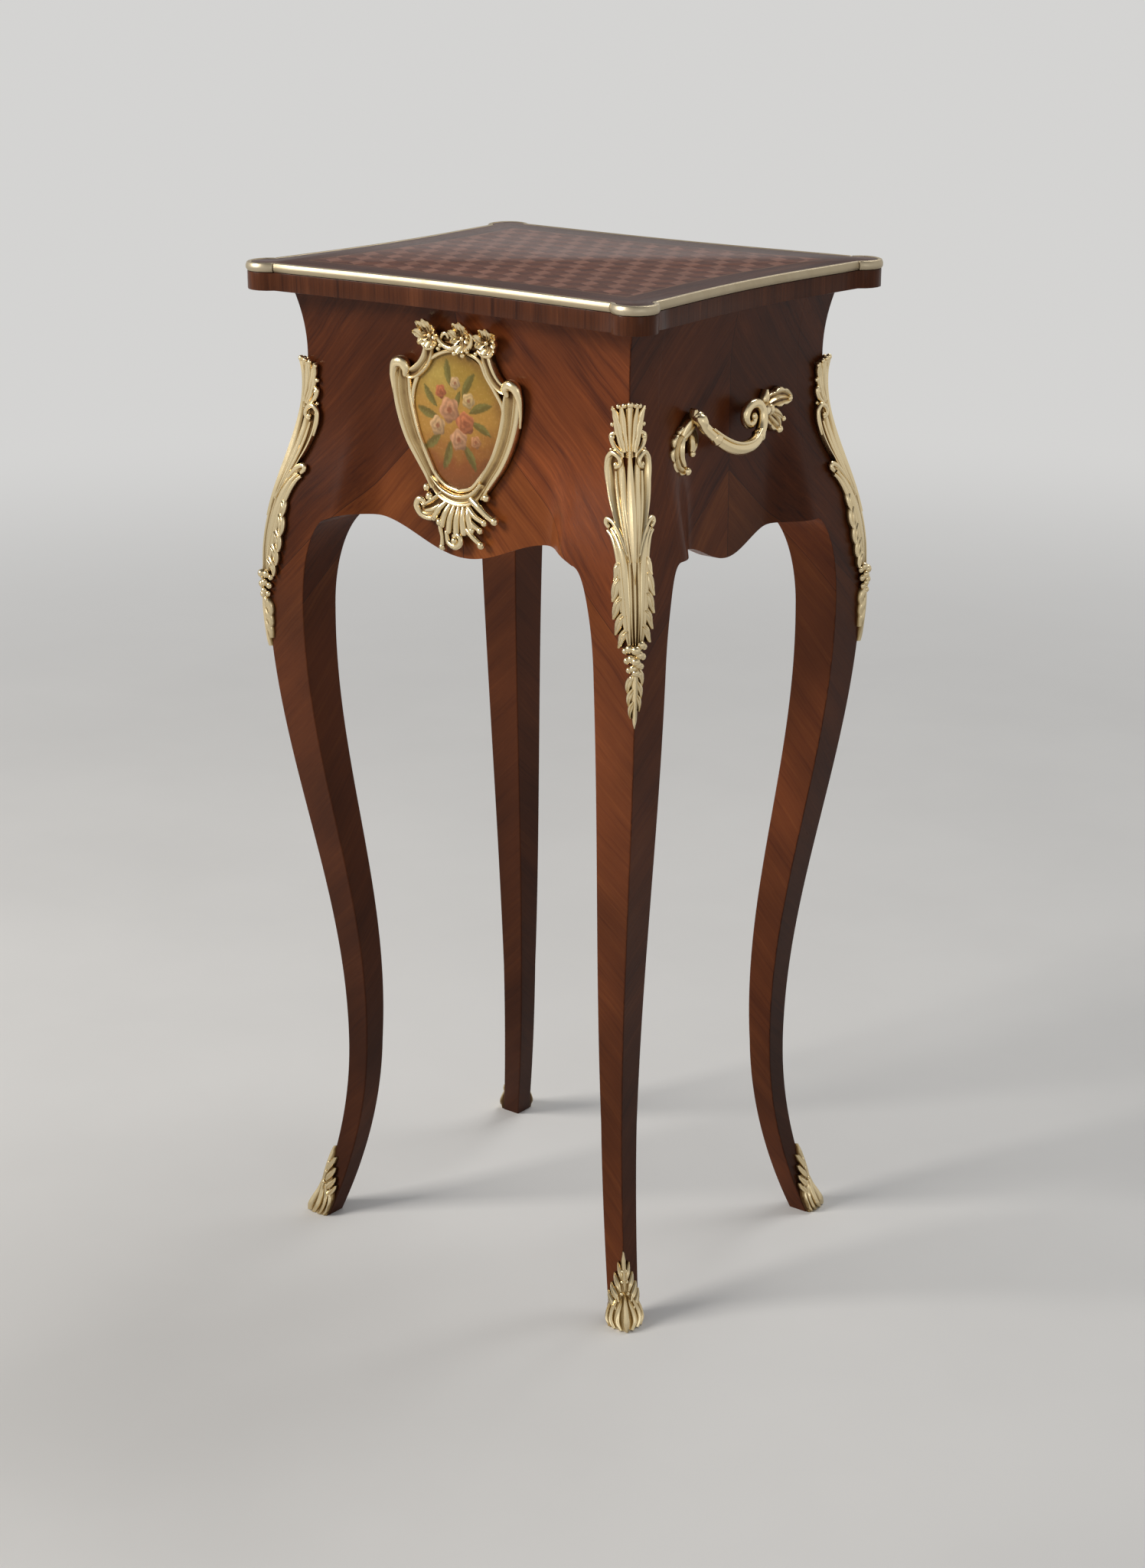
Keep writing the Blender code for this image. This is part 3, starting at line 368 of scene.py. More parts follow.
def makeParquet():
    material, tree, shader = newMaterial("lidParquet")
    x, y, _ = partsOf(tree, objectPoint(tree))
    size = parquet["cube"]
    tall = math.sqrt(3)
    flat = combine(tree, calc(tree, "DIVIDE", x, size), calc(tree, "DIVIDE", y, size), 0.0)

    def cell(shift):
        moved = vectorCalc(tree, "ADD", flat, (50 + shift, (50 + shift) * tall, 0.0))
        wrapped = vectorCalc(tree, "MODULO", moved, (1.0, tall, 1.0))
        return vectorCalc(tree, "SUBTRACT", wrapped, (0.5, tall / 2, 0.0))

    first, second = cell(0.0), cell(0.5)
    closer = calc(tree, "LESS_THAN", vectorCalc(tree, "LENGTH", first, output=1),
                  vectorCalc(tree, "LENGTH", second, output=1))
    pick = feedAll(tree, makeNode(tree, "Mix", data_type="VECTOR"), {"Factor": closer, 4: second, 5: first})
    local = pick.outputs[1]
    localX, localY, _ = partsOf(tree, local)
    angle = calc(tree, "ARCTAN2", localY, localX)
    third = calc(tree, "FLOOR", mul(tree, add(tree, angle, math.pi * 7 / 6), 3 / (2 * math.pi)))
    colour = parquet["tones"][0]
    for k in range(3):
        turn = math.radians(30 + 120 * k)
        along = vectorCalc(tree, "DOT_PRODUCT", flat, (math.cos(turn) * size, math.sin(turn) * size, 0.0), output=1)
        over = vectorCalc(tree, "DOT_PRODUCT", flat, (-math.sin(turn) * size, math.cos(turn) * size, 0.0), output=1)
        tone = parquet["tones"][k]
        darker, lighter = ([c * parquet[way] for c in tone[:3]] + [1] for way in ("darker", "lighter"))
        wood = useGroup(tree, woodGrain, Grain=combine(tree, along, over, 0.1 * k), Dark=darker, Mid=tone,
                        Light=lighter, Streak=parquet["streak"])
        here = calc(tree, "COMPARE", calc(tree, "MODULO", add(tree, third, 3.0), 3.0), float(k), 0.4)
        colour = mixColour(tree, here, colour, wood.outputs["Color"])
    # dark joints round each cube
    reach = calc(tree, "ABSOLUTE", localX)
    for turn in (60, 120):
        a = math.radians(turn)
        dot = vectorCalc(tree, "DOT_PRODUCT", local, (math.cos(a), math.sin(a), 0.0), output=1)
        reach = calc(tree, "MAXIMUM", reach, calc(tree, "ABSOLUTE", dot))
    joint = mul(tree, ramp(tree, reach, *parquet["joint"]), parquet["jointCover"])
    colour = mixColour(tree, joint, colour, parquet["borderDark"])

    # border that follows the hollow sides
    def hollow(value, half):
        share = calc(tree, "MINIMUM", calc(tree, "ABSOLUTE", calc(tree, "DIVIDE", value, half)), 1.0)
        square = calc(tree, "POWER", share, 2.0)
        return mul(tree, sub(tree, 1.0, square), sub(tree, 1.0, mul(tree, square, parquet["curve"])))

    def beyond(value, edge, other, cusp, depth):  # how far past the border's inner line
        line = calc(tree, "MULTIPLY_ADD", hollow(other, parquet[cusp]), -parquet[depth],
                    parquet[edge] - parquet["border"])
        return sub(tree, calc(tree, "ABSOLUTE", value), line)

    overY = beyond(y, "edgeY", x, "cuspX", "frontHollow")
    overX = beyond(x, "edgeX", y, "cuspY", "sideHollow")
    outside = calc(tree, "MAXIMUM", overX, overY)
    sideBand = ramp(tree, sub(tree, overX, overY), -parquet["seam"], parquet["seam"])
    along, over = between(tree, sideBand, x, y), between(tree, sideBand, y, x)
    band = useGroup(tree, woodGrain, Grain=combine(tree, along, over, 0.5), Dark=parquet["borderDark"],
                    Mid=parquet["borderMid"], Light=parquet["borderLight"], Streak=parquet["bandStreak"])
    inBand = ramp(tree, outside, -parquet["seam"], parquet["seam"])
    colour = mixColour(tree, inBand, colour, band.outputs["Color"])
    line = mul(tree, ramp(tree, calc(tree, "ABSOLUTE", outside), *parquet["lineEdge"]), parquet["lineCover"])
    colour = mixColour(tree, line, colour, parquet["line"])
    polish(tree, shader, band, parquet["roughness"], colour, parquet["coat"], parquet["shine"])
    return material


lidParquet = makeParquet()


def makePlainWood(name, axis, tones, roughness, coat=0.0, streak=1.0):
    material, tree, shader = newMaterial(name)
    x, y, z = partsOf(tree, objectPoint(tree))
    if axis == "edge":  # cross-banded: the grain stands upright
        order = z, add(tree, x, y), sub(tree, x, y)
    else:
        order = (x, y, z) if axis == "X" else (y, x, z)
    dark, mid, light = tones
    wood = useGroup(tree, woodGrain, Grain=combine(tree, *order), Dark=dark, Mid=mid, Light=light, Streak=streak)
    polish(tree, shader, wood, roughness, wood.outputs["Color"], coat)
    return material


# dark, middle and light tone of each plain wood
edgeTones = (0.034, 0.011, 0.006, 1), (0.088, 0.027, 0.011, 1), (0.155, 0.050, 0.020, 1)
oakTones = (0.13, 0.070, 0.030, 1), (0.28, 0.165, 0.080, 1), (0.40, 0.260, 0.140, 1)
walnutTones = (0.055, 0.026, 0.012, 1), (0.135, 0.068, 0.032, 1), (0.220, 0.120, 0.060, 1)
mouldingTones = (0.035, 0.011, 0.006, 1), (0.095, 0.028, 0.012, 1), (0.170, 0.055, 0.021, 1)
lidEdge = makePlainWood("lidEdge", "edge", edgeTones, 0.22, polished["coat"], 0.7)
oakAlongX, oakAlongY = (makePlainWood("oakAlong" + axis, axis, oakTones, 0.50) for axis in "XY")
walnutAlongX, walnutAlongY = (makePlainWood("walnutAlong" + axis, axis, walnutTones, 0.34, 0.15) for axis in "XY")
mouldingAlongX, mouldingAlongY = (makePlainWood("mouldingAlong" + axis, axis, mouldingTones, 0.24, 0.3)
                                  for axis in "XY")


# metals

# clouds and grit are noise scales; the lower parts of the mounts are painted darker, as painted shade, their
# burnished edges less so
tarnishAndShade = {"clouds": 60.0, "grit": 900.0, "patchy": 0.25, "deep": (0.44, 0.74), "bright": (0.36, 0.03),
           "dirty": (0.625, 0.525, 1.0), "Plain": 0.62, "Burnished": 0.84, "bump": (0.35, 0.00006),
           "brightRough": -0.07, "cloudRough": 0.16, "deepRough": 0.22, "gritRough": 0.05, "cloudHeight": 0.6}


def makeTarnishAndShade():
    inputs = [("Hollow", "Float"), ("Burnished", "Color"), ("Plain", "Color"), ("Deep", "Color"), ("Cover", "Float")]
    outputs = [("Color", "Color"), ("Roughness", "Float"), ("Height", "Float")]
    group, given, out = newGroup("metalTarnish", inputs, outputs)
    point = objectPoint(group)
    _, _, z = partsOf(group, point)
    cloud = noiseOf(group, point, tarnishAndShade["clouds"], 4.0, 0.6)
    grit = noiseOf(group, point, tarnishAndShade["grit"], 2.0)
    worn = add(group, given.outputs["Hollow"], mul(group, sub(group, cloud, 0.5), tarnishAndShade["patchy"]))
    # hollows take the deep tone: dirt, and painted shade as well
    deep = mul(group, ramp(group, worn, *tarnishAndShade["deep"]), given.outputs["Cover"])
    bright = ramp(group, worn, *tarnishAndShade["bright"])
    # plain and burnished tones dimmed towards the bottom: painted shade
    toned = [shaded(group, given.outputs[tone], ramp(group, z, *tarnishAndShade["dirty"], tarnishAndShade[tone]))
             for tone in ("Plain", "Burnished")]
    rough = mul(group, bright, tarnishAndShade["brightRough"])
    for part, weight in ((cloud, "cloudRough"), (deep, "deepRough"), (grit, "gritRough")):
        rough = add(group, rough, mul(group, part, tarnishAndShade[weight]))
    feedAll(group, out, {
        "Color": mixColour(group, deep, mixColour(group, bright, *toned), given.outputs["Deep"]),
        "Roughness": rough, "Height": add(group, grit, mul(group, cloud, tarnishAndShade["cloudHeight"]))})
    return group


metalTarnish = makeTarnishAndShade()


def makeMetal(name, burnished, plain, deep, roughness, cover):
    material, tree, shader = newMaterial(name, Metallic=1.0)
    coat = useGroup(tree, metalTarnish, Hollow=attributeOf(tree, "hollow")["Fac"], Burnished=burnished, Plain=plain,
                    Deep=deep, Cover=cover).outputs
    feedAll(tree, shader, {
        "Base Color": coat["Color"], "Roughness": add(tree, coat["Roughness"], roughness),
        "Normal": bump(tree, coat["Height"], *tarnishAndShade["bump"])})
    return material


# burnished, plain and deep tone, roughness and how far dirt and painted shade cover the hollows
giltBronze = makeMetal("giltBronze", (0.88, 0.72, 0.44, 1), (0.55, 0.385, 0.175, 1), (0.095, 0.044, 0.015, 1),
                       0.17, 0.95)
rimBrass = makeMetal("rimBrass", (0.62, 0.54, 0.40, 1), (0.48, 0.40, 0.27, 1), (0.24, 0.16, 0.08, 1), 0.33, 0.7)
hingeBrass = makeMetal("hingeBrass", (0.78, 0.60, 0.30, 1), (0.64, 0.47, 0.21, 1), (0.30, 0.19, 0.07, 1), 0.26, 0.5)

silver = {"clear": (0.86, 0.88, 0.89, 1), "foxed": (0.66, 0.66, 0.63, 1), "clouds": 45.0, "spots": (0.62, 0.80),
          "roughness": (0.55, 0.85, 0.02, 0.12)}
enamel = {"strokes": 420.0, "tone": (0.25, 0.75, 0.93, 1.06), "roughness": (0.2, 0.8, 0.20, 0.30),
          "bump": (0.15, 0.00003), "shine": 0.25, "coat": 0.08, "coatRoughness": 0.08}


def makeMirror():
    material, tree, shader = newMaterial("silveredGlass", Metallic=1.0)
    haze = noiseOf(tree, objectPoint(tree), silver["clouds"], 4.0)
    feedAll(tree, shader, {
        "Base Color": mixColour(tree, ramp(tree, haze, *silver["spots"]), silver["clear"], silver["foxed"]),
        "Roughness": ramp(tree, haze, *silver["roughness"])})
    return material


def makeEnamel():
    material, tree, shader = newMaterial("plaqueEnamel")
    stroke = noiseOf(tree, objectPoint(tree), enamel["strokes"], 3.0)
    feedAll(tree, shader, {
        "Base Color": shaded(tree, attributeOf(tree, "paint")["Color"], ramp(tree, stroke, *enamel["tone"])),
        "Roughness": ramp(tree, stroke, *enamel["roughness"]), "Normal": bump(tree, stroke, *enamel["bump"]),
        "Specular IOR Level": enamel["shine"], "Coat Weight": enamel["coat"],
        "Coat Roughness": enamel["coatRoughness"]})
    return material


silveredGlass, plaqueEnamel = makeMirror(), makeEnamel()
print("materials made")


# legs and panels: the solids' own curves, drawn fine

case = {"halfX": 0.144, "halfY": 0.1155, "top": 0.7254, "waist": 0.6794, "knee": 0.5154, "ankle": 0.145,
        "flare": 0.0064, "flareHeight": 0.046, "kneeOut": 0.0245, "ankleIn": 0.0112, "footOut": 0.0105,
        "kneeWidth": 0.0362, "ankleWidth": 0.0190, "footWidth": 0.0158, "post": 0.0328, "joint": 0.5659,
        "spring": 0.4904, "swell": 0.042, "arris": 0.0008, "support": 0.0006, "levels": 150, "archLevels": 24,
        "easeHeight": 0.05, "leastEase": 0.02}


def easeStep(u):
    u = np.clip(u, 0, 1)
    return u ** 3 * (u * (6 * u - 15) + 10)


def arrisOut(z):  # outer arris, from the case's corner
    z = np.asarray(z, float)
    flared = case["flare"] * ((z - case["waist"]) / case["flareHeight"]) ** 2
    knee = case["kneeOut"] * easeStep((case["waist"] - z) / (case["waist"] - case["knee"]))
    swing = (1 - np.cos(math.pi * (case["knee"] - z) / (case["knee"] - case["ankle"]))) / 2
    shank = case["kneeOut"] - (case["kneeOut"] + case["ankleIn"]) * swing
    foot = -case["ankleIn"] + (case["footOut"] + case["ankleIn"]) * (1 - z / case["ankle"]) ** 2
    return np.select([z >= case["waist"], z >= case["knee"], z >= case["ankle"]], [flared, knee, shank], foot)


def innerOut(z):  # inner faces: the leg's width, the arch, then the square post
    if z >= case["joint"]:
        return -case["post"]
    share = (min(z, case["spring"]) - case["ankle"]) / (case["knee"] - case["ankle"])
    width = case["ankleWidth"] + (case["kneeWidth"] - case["ankleWidth"]) * share
    if z < case["ankle"]:
        width = case["footWidth"] + (case["ankleWidth"] - case["footWidth"]) * z / case["ankle"]
    foot = float(arrisOut(min(z, case["spring"]))) - width
    if z <= case["spring"]:
        return foot
    rise = (z - case["spring"]) / (case["joint"] - case["spring"])
    return foot + (-case["post"] - foot) * (1 - math.sqrt(max(1 - rise ** 2, 0)))


# slot 0 for faces to front and back, 1 for the sides, 2 for tops and the inside
def splitByFacing(piece, inward=Vector()):
    for face in piece.data.polygons:
        plain = face.normal.z > facingUp or face.normal.dot(inward) > facingUp
        face.material_index = 2 if plain else 1 if abs(face.normal.x) > abs(face.normal.y) else 0


def legRing(z, signX, signY):
    out, inn = float(arrisOut(z)), innerOut(z)
    free = float(easeStep((case["joint"] - z) / case["easeHeight"]))  # corners under the panels stay square
    tight = case["arris"] * max(free, case["leastEase"])
    ring = []
    for (x, y), (wayX, wayY), radius in (((out, out), (-1, -1), case["arris"]), ((inn, out), (1, -1), tight),
                                         ((inn, inn), (1, 1), case["arris"]), ((out, inn), (-1, 1), tight)):
        arc = []
        for k in range(4):
            turn = math.pi / 2 * k / 3
            arc.append((x + wayX * radius * (1 - math.sin(turn)), y + wayY * radius * (1 - math.cos(turn))))
        reach = radius + case["support"]
        arc = [(x + wayX * reach, y)] + arc + [(x, y + wayY * reach)]
        ring += arc if wayX * wayY < 0 else arc[::-1]
    return [(signX * (case["halfX"] + x), signY * (case["halfY"] + y), z) for x, y in ring]


def makeLeg(corner):
    signX, signY = signsOf(corner)
    arch = [case["spring"] + (case["joint"] - case["spring"]) * math.sin(math.pi / 2 * k / case["archLevels"])
            for k in range(case["archLevels"] + 1)]
    plain = [case["top"] * k / case["levels"] for k in range(case["levels"] + 1)]
    levels = sorted(arch + [z for z in plain if z < case["spring"] - mm or z > case["joint"] + mm])
    bm = bmesh.new()
    rings = [[bm.verts.new(point) for point in legRing(z, signX, signY)] for z in levels]
    count = len(rings[0])
    for low, high in zip(rings, rings[1:]):
        for k in range(count):
            bm.faces.new((low[k], low[(k + 1) % count], high[(k + 1) % count], high[k]))
    bm.faces.new(rings[0])
    bm.faces.new(rings[-1])
    leg = pieceFrom(bm, camel("leg_" + corner))
    settle(leg, "case", "kingwood_veneer", [frontVeneer, sideVeneer, mouldingAlongX], ["leg_" + corner], 40)
    splitByFacing(leg)


for corner in corners:
    makeLeg(corner)

# front and side: how far the arches drop, and the solid's straight lengths along its lower edge
panels = {"tuck": 0.00032, "cuts": 2, "facing": 0.45, "near": 0.003, "endReach": 0.0001, "step": 0.0003,
          "archWidth": 0.0295, "centreDrop": 0.1750, "seam": 0.0003, "front": (0.1545, 20), "side": (0.1595, 14)}


def skinOut(u, z, wall, span):  # how far out a panel's face stands
    share = np.where(z >= case["waist"], 1.0, easeStep((u - span + case["swell"]) / case["swell"]))
    return wall + arrisOut(z) * share


def lowerEdge(u, span, drop):  # a central drop between two arches
    crown = span - panels["archWidth"]
    rise = (1 - np.cos(math.pi * np.minimum(u, crown) / crown)) / 2
    middle = panels["centreDrop"] + (drop - panels["centreDrop"]) * rise
    arch = drop + (case["top"] - case["joint"] - drop) * (np.maximum(u - crown, 0) / panels["archWidth"]) ** 3
    return case["top"] - np.where(u <= crown, middle, arch)


for name in ("front_panel", "back_panel", "right_panel", "left_panel"):
    panel = mergedCopy(name, flatten=False)
    applyModifier(panel, "SUBSURF", subdivision_type="SIMPLE", levels=panels["cuts"], render_levels=panels["cuts"])
    across, out = (0, 1) if name in ("front_panel", "back_panel") else (1, 0)
    wall = case["halfY"] if across == 0 else case["halfX"]
    span = (case["halfX"] if across == 0 else case["halfY"]) - case["post"]
    ends = max(abs(vertex.co[across]) for vertex in panel.data.vertices)
    outward = 1 if name in ("back_panel", "right_panel") else -1
    spots = np.array([vertex.co for vertex in panel.data.vertices])
    u, z, step = np.abs(spots[:, across]), spots[:, 2], panels["step"]
    # the solid's straight lower edges bend to the curve they follow
    drop, columns = panels["front" if across == 0 else "side"]
    knots = (span - panels["seam"]) * np.linspace(-1, 1, columns + 1)
    coarse = np.interp(spots[:, across], knots, lowerEdge(np.abs(knots), span, drop))
    z = case["top"] + (z - case["top"]) * (lowerEdge(u, span, drop) - case["top"]) / (coarse - case["top"])
    skin = skinOut(u, z, wall, span)
    # faces of the outer skin, not the walls of mortises
    near = np.abs(spots[:, out] * outward - skin) < panels["near"]
    skinFaces = {face.index for face in panel.data.polygons
                 if face.normal[out] * outward > panels["facing"] and all(near[k] for k in face.vertices)}
    skinPoints = {k for index in skinFaces for k in panel.data.polygons[index].vertices}
    normals = np.empty_like(spots)
    normals[:, out] = outward
    tilt = (skinOut(u - step, z, wall, span) - skinOut(u + step, z, wall, span)) / (2 * step)
    normals[:, across] = tilt * np.sign(spots[:, across])
    normals[:, 2] = (skinOut(u, z - step, wall, span) - skinOut(u, z + step, wall, span)) / (2 * step)
    normals /= np.linalg.norm(normals, axis=1)[:, None]
    # the outer skin goes onto the true curve; its ends close up to the legs
    for k, vertex in enumerate(panel.data.vertices):
        vertex.co.z = z[k]
        if k in skinPoints:
            vertex.co[out] = outward * skin[k]
        if u[k] > ends - panels["endReach"]:
            vertex.co[across] += math.copysign(panels["tuck"], vertex.co[across])
    inside = mouldingAlongX if across == 0 else mouldingAlongY
    settle(panel, "case", "kingwood_veneer", [frontVeneer, sideVeneer, inside], [name], 35)
    splitByFacing(panel, Vector((0, -outward, 0)) if across == 0 else Vector((-outward, 0, 0)))
    # and takes the curve's own normals
    drawn = [tuple(corner.vector) for corner in panel.data.corner_normals]
    for face in panel.data.polygons:
        if face.index in skinFaces:
            for loop in face.loop_indices:
                drawn[loop] = tuple(normals[panel.data.loops[loop].vertex_index])
    panel.data.normals_split_custom_set(drawn)
print("legs and panels eased")


# well, tray, bearers and the mirror's frame

boards = (
    (oakAlongX, "carcase_oak", "case",
     ("bearer_front", "bearer_back", "tray_ledge_front", "tray_ledge_back", "well_bottom")),
    (walnutAlongX, "tray_walnut", "case", ("tray_floor", "tray_front", "tray_back", "tray_long_divider")),
    (mouldingAlongX, "kingwood_veneer", "lid", ("mirror_frame_front", "mirror_frame_back")),
    (oakAlongY, "carcase_oak", "case", ("bearer_right", "bearer_left")),
    (walnutAlongY, "tray_walnut", "case",
     ("tray_left", "tray_right", "tray_cross_divider_left", "tray_cross_divider_right")),
    (mouldingAlongY, "kingwood_veneer", "lid", ("mirror_frame_left", "mirror_frame_right")),
)
for material, slot, body, names in boards:
    for name in names:
        settle(easedCopy(name, "board"), body, slot, [material], [name], 30)
print("well and tray done")


# lid, its edging, mirror and hinges

lid = easedCopy("lid_board", "lid")
settle(lid, "lid", "kingwood_veneer", [lidParquet, lidEdge, mouldingAlongX], ["lid_board"], 30)
for face in lid.data.polygons:
    face.material_index = 0 if face.normal.z > facingUp else 2 if face.normal.z < -facingUp else 1

# keep is a point's own share in each pass
hollows = {"passes": 3, "keep": 0.4, "gain": 1.6}


def markHollows(piece):  # how deep each point lies among its neighbours, 0.5 on a plane
    mesh = piece.data
    count = len(mesh.vertices)
    points, normals = readOut(mesh.vertices, "co", 3), readOut(mesh.vertices, "normal", 3)
    a, b = readOut(mesh.edges, "vertices", 2, int).T
    links = np.maximum(np.bincount(a, minlength=count) + np.bincount(b, minlength=count), 1)

    def around(values):  # the mean of each point's neighbours
        return (np.bincount(a, values[b], count) + np.bincount(b, values[a], count)) / links

    lengths = np.linalg.norm(points[a] - points[b], axis=1)
    reach = (np.bincount(a, lengths, count) + np.bincount(b, lengths, count)) / links
    mean = np.zeros_like(points)
    for axis in range(3):
        mean[:, axis] = around(points[:, axis])
    depth = np.einsum("ij,ij->i", mean - points, normals) / np.maximum(reach, 1e-7)
    for _ in range(hollows["passes"]):
        depth = hollows["keep"] * depth + (1 - hollows["keep"]) * around(depth)
    layer = mesh.attributes.new("hollow", "FLOAT", "POINT")
    layer.data.foreach_set("value", np.clip(0.5 + hollows["gain"] * depth, 0, 1).astype(np.float32))


for name in [n for n in nodes if n.startswith("rim_")]:
    rim = easedCopy(name, "rim")
    settle(rim, "lid", "gilt_bronze", [rimBrass], [name], 40)
    markHollows(rim)

hinge = {"axisY": 0.1244, "caseFace": 0.7254, "lidFace": 0.7260}
screw = {"radius": 0.0016, "rise": 0.00012, "sink": 0.0002, "slot": 0.00022, "spread": 0.31, "setBack": 0.42,
         "steps": 10}


def addScrew(bm, x, y, face, way):  # two half heads, with the slot between them
    start = math.asin(screw["slot"] / screw["radius"])
    for half in (1, -1):
        turns = np.linspace(start, math.pi - start, screw["steps"] + 1)
        ring = [(screw["radius"] * math.cos(q), half * screw["radius"] * math.sin(q)) for q in turns]
        low = [bm.verts.new((x + a, y + b, face - way * screw["sink"])) for a, b in ring]
        top = [bm.verts.new((x + a, y + b, face + way * screw["rise"])) for a, b in ring]
        for outline in (low, top):
            bm.faces.new(outline)
        for k in range(len(ring)):
            bm.faces.new((low[k - 1], low[k], top[k], top[k - 1]))


def addScrews(leaf, face, way):
    xs, ys = [v.co.x for v in leaf.data.vertices], [v.co.y for v in leaf.data.vertices]
    middle, width = (min(xs) + max(xs)) / 2, max(xs) - min(xs)
    bm = bmesh.new()
    bm.from_mesh(leaf.data)
    back = min(ys) + screw["setBack"] * (hinge["axisY"] - min(ys))
    for k in (-1, 0, 1):
        addScrew(bm, middle + k * screw["spread"] * width, back, face, way)
    bmesh.ops.recalc_face_normals(bm, faces=bm.faces)
    bm.to_mesh(leaf.data)
    bm.free()


for name in [n for n in nodes if n.startswith("hinge_")]:
    leaf = easedCopy(name, "hinge")
    if "case_leaf" in name:
        addScrews(leaf, hinge["caseFace"], 1)
    elif "lid_leaf" in name:
        addScrews(leaf, hinge["lidFace"], -1)
    settle(leaf, "lid" if "lid_leaf" in name else "case", "hinge_brass", [hingeBrass], [name], 35)
for name in [n for n in nodes if n.startswith("handle_nut")]:
    settle(easedCopy(name, "nut"), "case", "hinge_brass", [hingeBrass], [name], 35)
settle(easedCopy("mirror", "mirror"), "lid", "silvered_glass", [silveredGlass], ["mirror"], 20)
print("lid, edging and hinges done")


# cast ornament: leaves, tubes and beads laid on a face, then joined into one casting

# cell and reach are of the height map that finds hollows; level marks a point that is level with its neighbours
casting = {"merge": 0.000002, "smooth": 50, "depth": 0.0028, "cell": 0.0007, "reach": 5, "seat": 0.0002,
           "least": 0.0002, "level": 0.42, "gain": 0.9, "slope": 0.97, "lobe": 0.7, "middle": 0.55}


def addLeaf(bm, place, spine, section, rows, teeth=0, bite=0.0, lean=0.0, vein=0.0, thick=None):
    path = throughPoints(spine, rows + 1)  # along, up, lift and half-width at each row
    tops, lows = [], []
    for i, (a, z, lift, half) in enumerate(path):
        s = i / rows
        before, after = path[max(i - 1, 0)], path[min(i + 1, rows)]
        wayA, wayZ = after[0] - before[0], after[1] - before[1]
        length = math.hypot(wayA, wayZ) or 1.0
        wayA, wayZ = wayA / length, wayZ / length
        lobe = abs(math.sin(math.pi * teeth * s)) ** casting["lobe"] if teeth else 1.0
        top, low = [], []
        for t, height in section:
            edge = abs(t)
            reach = half * (1 - bite * (1 - lobe) * edge) * t
            drift = lean * mm * edge ** 2
            pa, pz = a - wayZ * reach + wayA * drift, z + wayA * reach + wayZ * drift
            rise = lift + height + vein * mm * edge * (lobe - casting["middle"])
            under = casting["seat"] if thick is None else max(casting["seat"], lift - thick * mm)
            top.append(bm.verts.new(place(pa, pz, max(rise, under + casting["least"]))))
            low.append(bm.verts.new(place(pa, pz, under)))
        tops.append(top)
        lows.append(low)
    last = len(section) - 1
    for i in range(rows):
        for j in range(last):
            bm.faces.new((tops[i][j], tops[i][j + 1], tops[i + 1][j + 1], tops[i + 1][j]))
            bm.faces.new((lows[i][j], lows[i + 1][j], lows[i + 1][j + 1], lows[i][j + 1]))
        for j in (0, last):
            bm.faces.new((tops[i][j], tops[i + 1][j], lows[i + 1][j], lows[i][j]))
    for i in (0, rows):
        for j in range(last):
            bm.faces.new((tops[i][j], tops[i][j + 1], lows[i][j + 1], lows[i][j]))


def addTube(bm, place, route, rows=20, sides=10):  # along, up, lift and radius at each point
    path = throughPoints(route, rows + 1)
    centres = [place(a, z, lift) for a, z, lift, radius in path]
    radii = [radius for *_, radius in path]
    ways = [(centres[min(i + 1, rows)] - centres[max(i - 1, 0)]).normalized() for i in range(rows + 1)]
    # both ends rounded with two smaller rings
    ends = ((0.5, 0.866), (0.87, 0.5))
    head = [(centres[0] - ways[0] * radii[0] * o, ways[0], radii[0] * r) for o, r in reversed(ends)]
    tail = [(centres[-1] + ways[-1] * radii[-1] * o, ways[-1], radii[-1] * r) for o, r in ends]
    rings = []
    normal = ways[0].orthogonal().normalized()
    for centre, way, radius in head + list(zip(centres, ways, radii)) + tail:
        normal = (normal - way * normal.dot(way)).normalized()
        other = way.cross(normal)
        rings.append([bm.verts.new(centre + (normal * math.cos(q) + other * math.sin(q)) * radius)
                      for q in (2 * math.pi * k / sides for k in range(sides))])
    for near, far in zip(rings, rings[1:]):
        for k in range(sides):
            bm.faces.new((near[k], near[(k + 1) % sides], far[(k + 1) % sides], far[k]))
    for ring in (rings[0], rings[-1]):
        bm.faces.new(ring)


def addBead(bm, point, radius):
    bmesh.ops.create_icosphere(bm, subdivisions=2, radius=radius, matrix=Matrix.Translation(point))


def blurred(grid, reach):  # box blur in both directions, twice
    for _ in range(2):
        for axis in (0, 1):
            pad = [(reach, reach) if k == axis else (0, 0) for k in (0, 1)]
            total = np.cumsum(np.pad(grid, pad, mode="edge"), axis=axis)
            total = np.insert(total, 0, 0.0, axis=axis)
            size = 2 * reach + 1
            high = np.take(total, range(size, total.shape[axis]), axis=axis)
            low = np.take(total, range(0, total.shape[axis] - size), axis=axis)
            grid = (high - low) / size
    return grid


def markDepth(piece, unwrap, scale):  # depth below the castings round each point
    mesh = piece.data
    a, z, lift = unwrap(readOut(mesh.vertices, "co", 3))
    i = ((a - a.min()) / casting["cell"]).astype(int)
    j = ((z - z.min()) / casting["cell"]).astype(int)
    tops = np.zeros((i.max() + 1, j.max() + 1))
    np.maximum.at(tops, (i, j), np.maximum(lift, 0))
    # cells between the points take their neighbours' height
    for _ in range(2):
        spread = tops.copy()
        for shift, axis in ((1, 0), (-1, 0), (1, 1), (-1, 1)):
            spread = np.maximum(spread, np.roll(tops, shift, axis) * casting["slope"])
        tops = np.where(tops > 0, tops, spread)
    around = blurred(tops, casting["reach"])
    depth = (around[i, j] - lift) / scale
    old = mesh.attributes.get("hollow")
    curve = readOut(old.data, "value", kind=np.float32)
    # the deeper a point lies below the casting round it, the darker it is painted later: dirt, and painted shade as
    # well
    marks = casting["level"] + casting["gain"] * (depth + curve - 0.5)
    old.data.foreach_set("value", np.clip(marks, 0, 1).astype(np.float32))


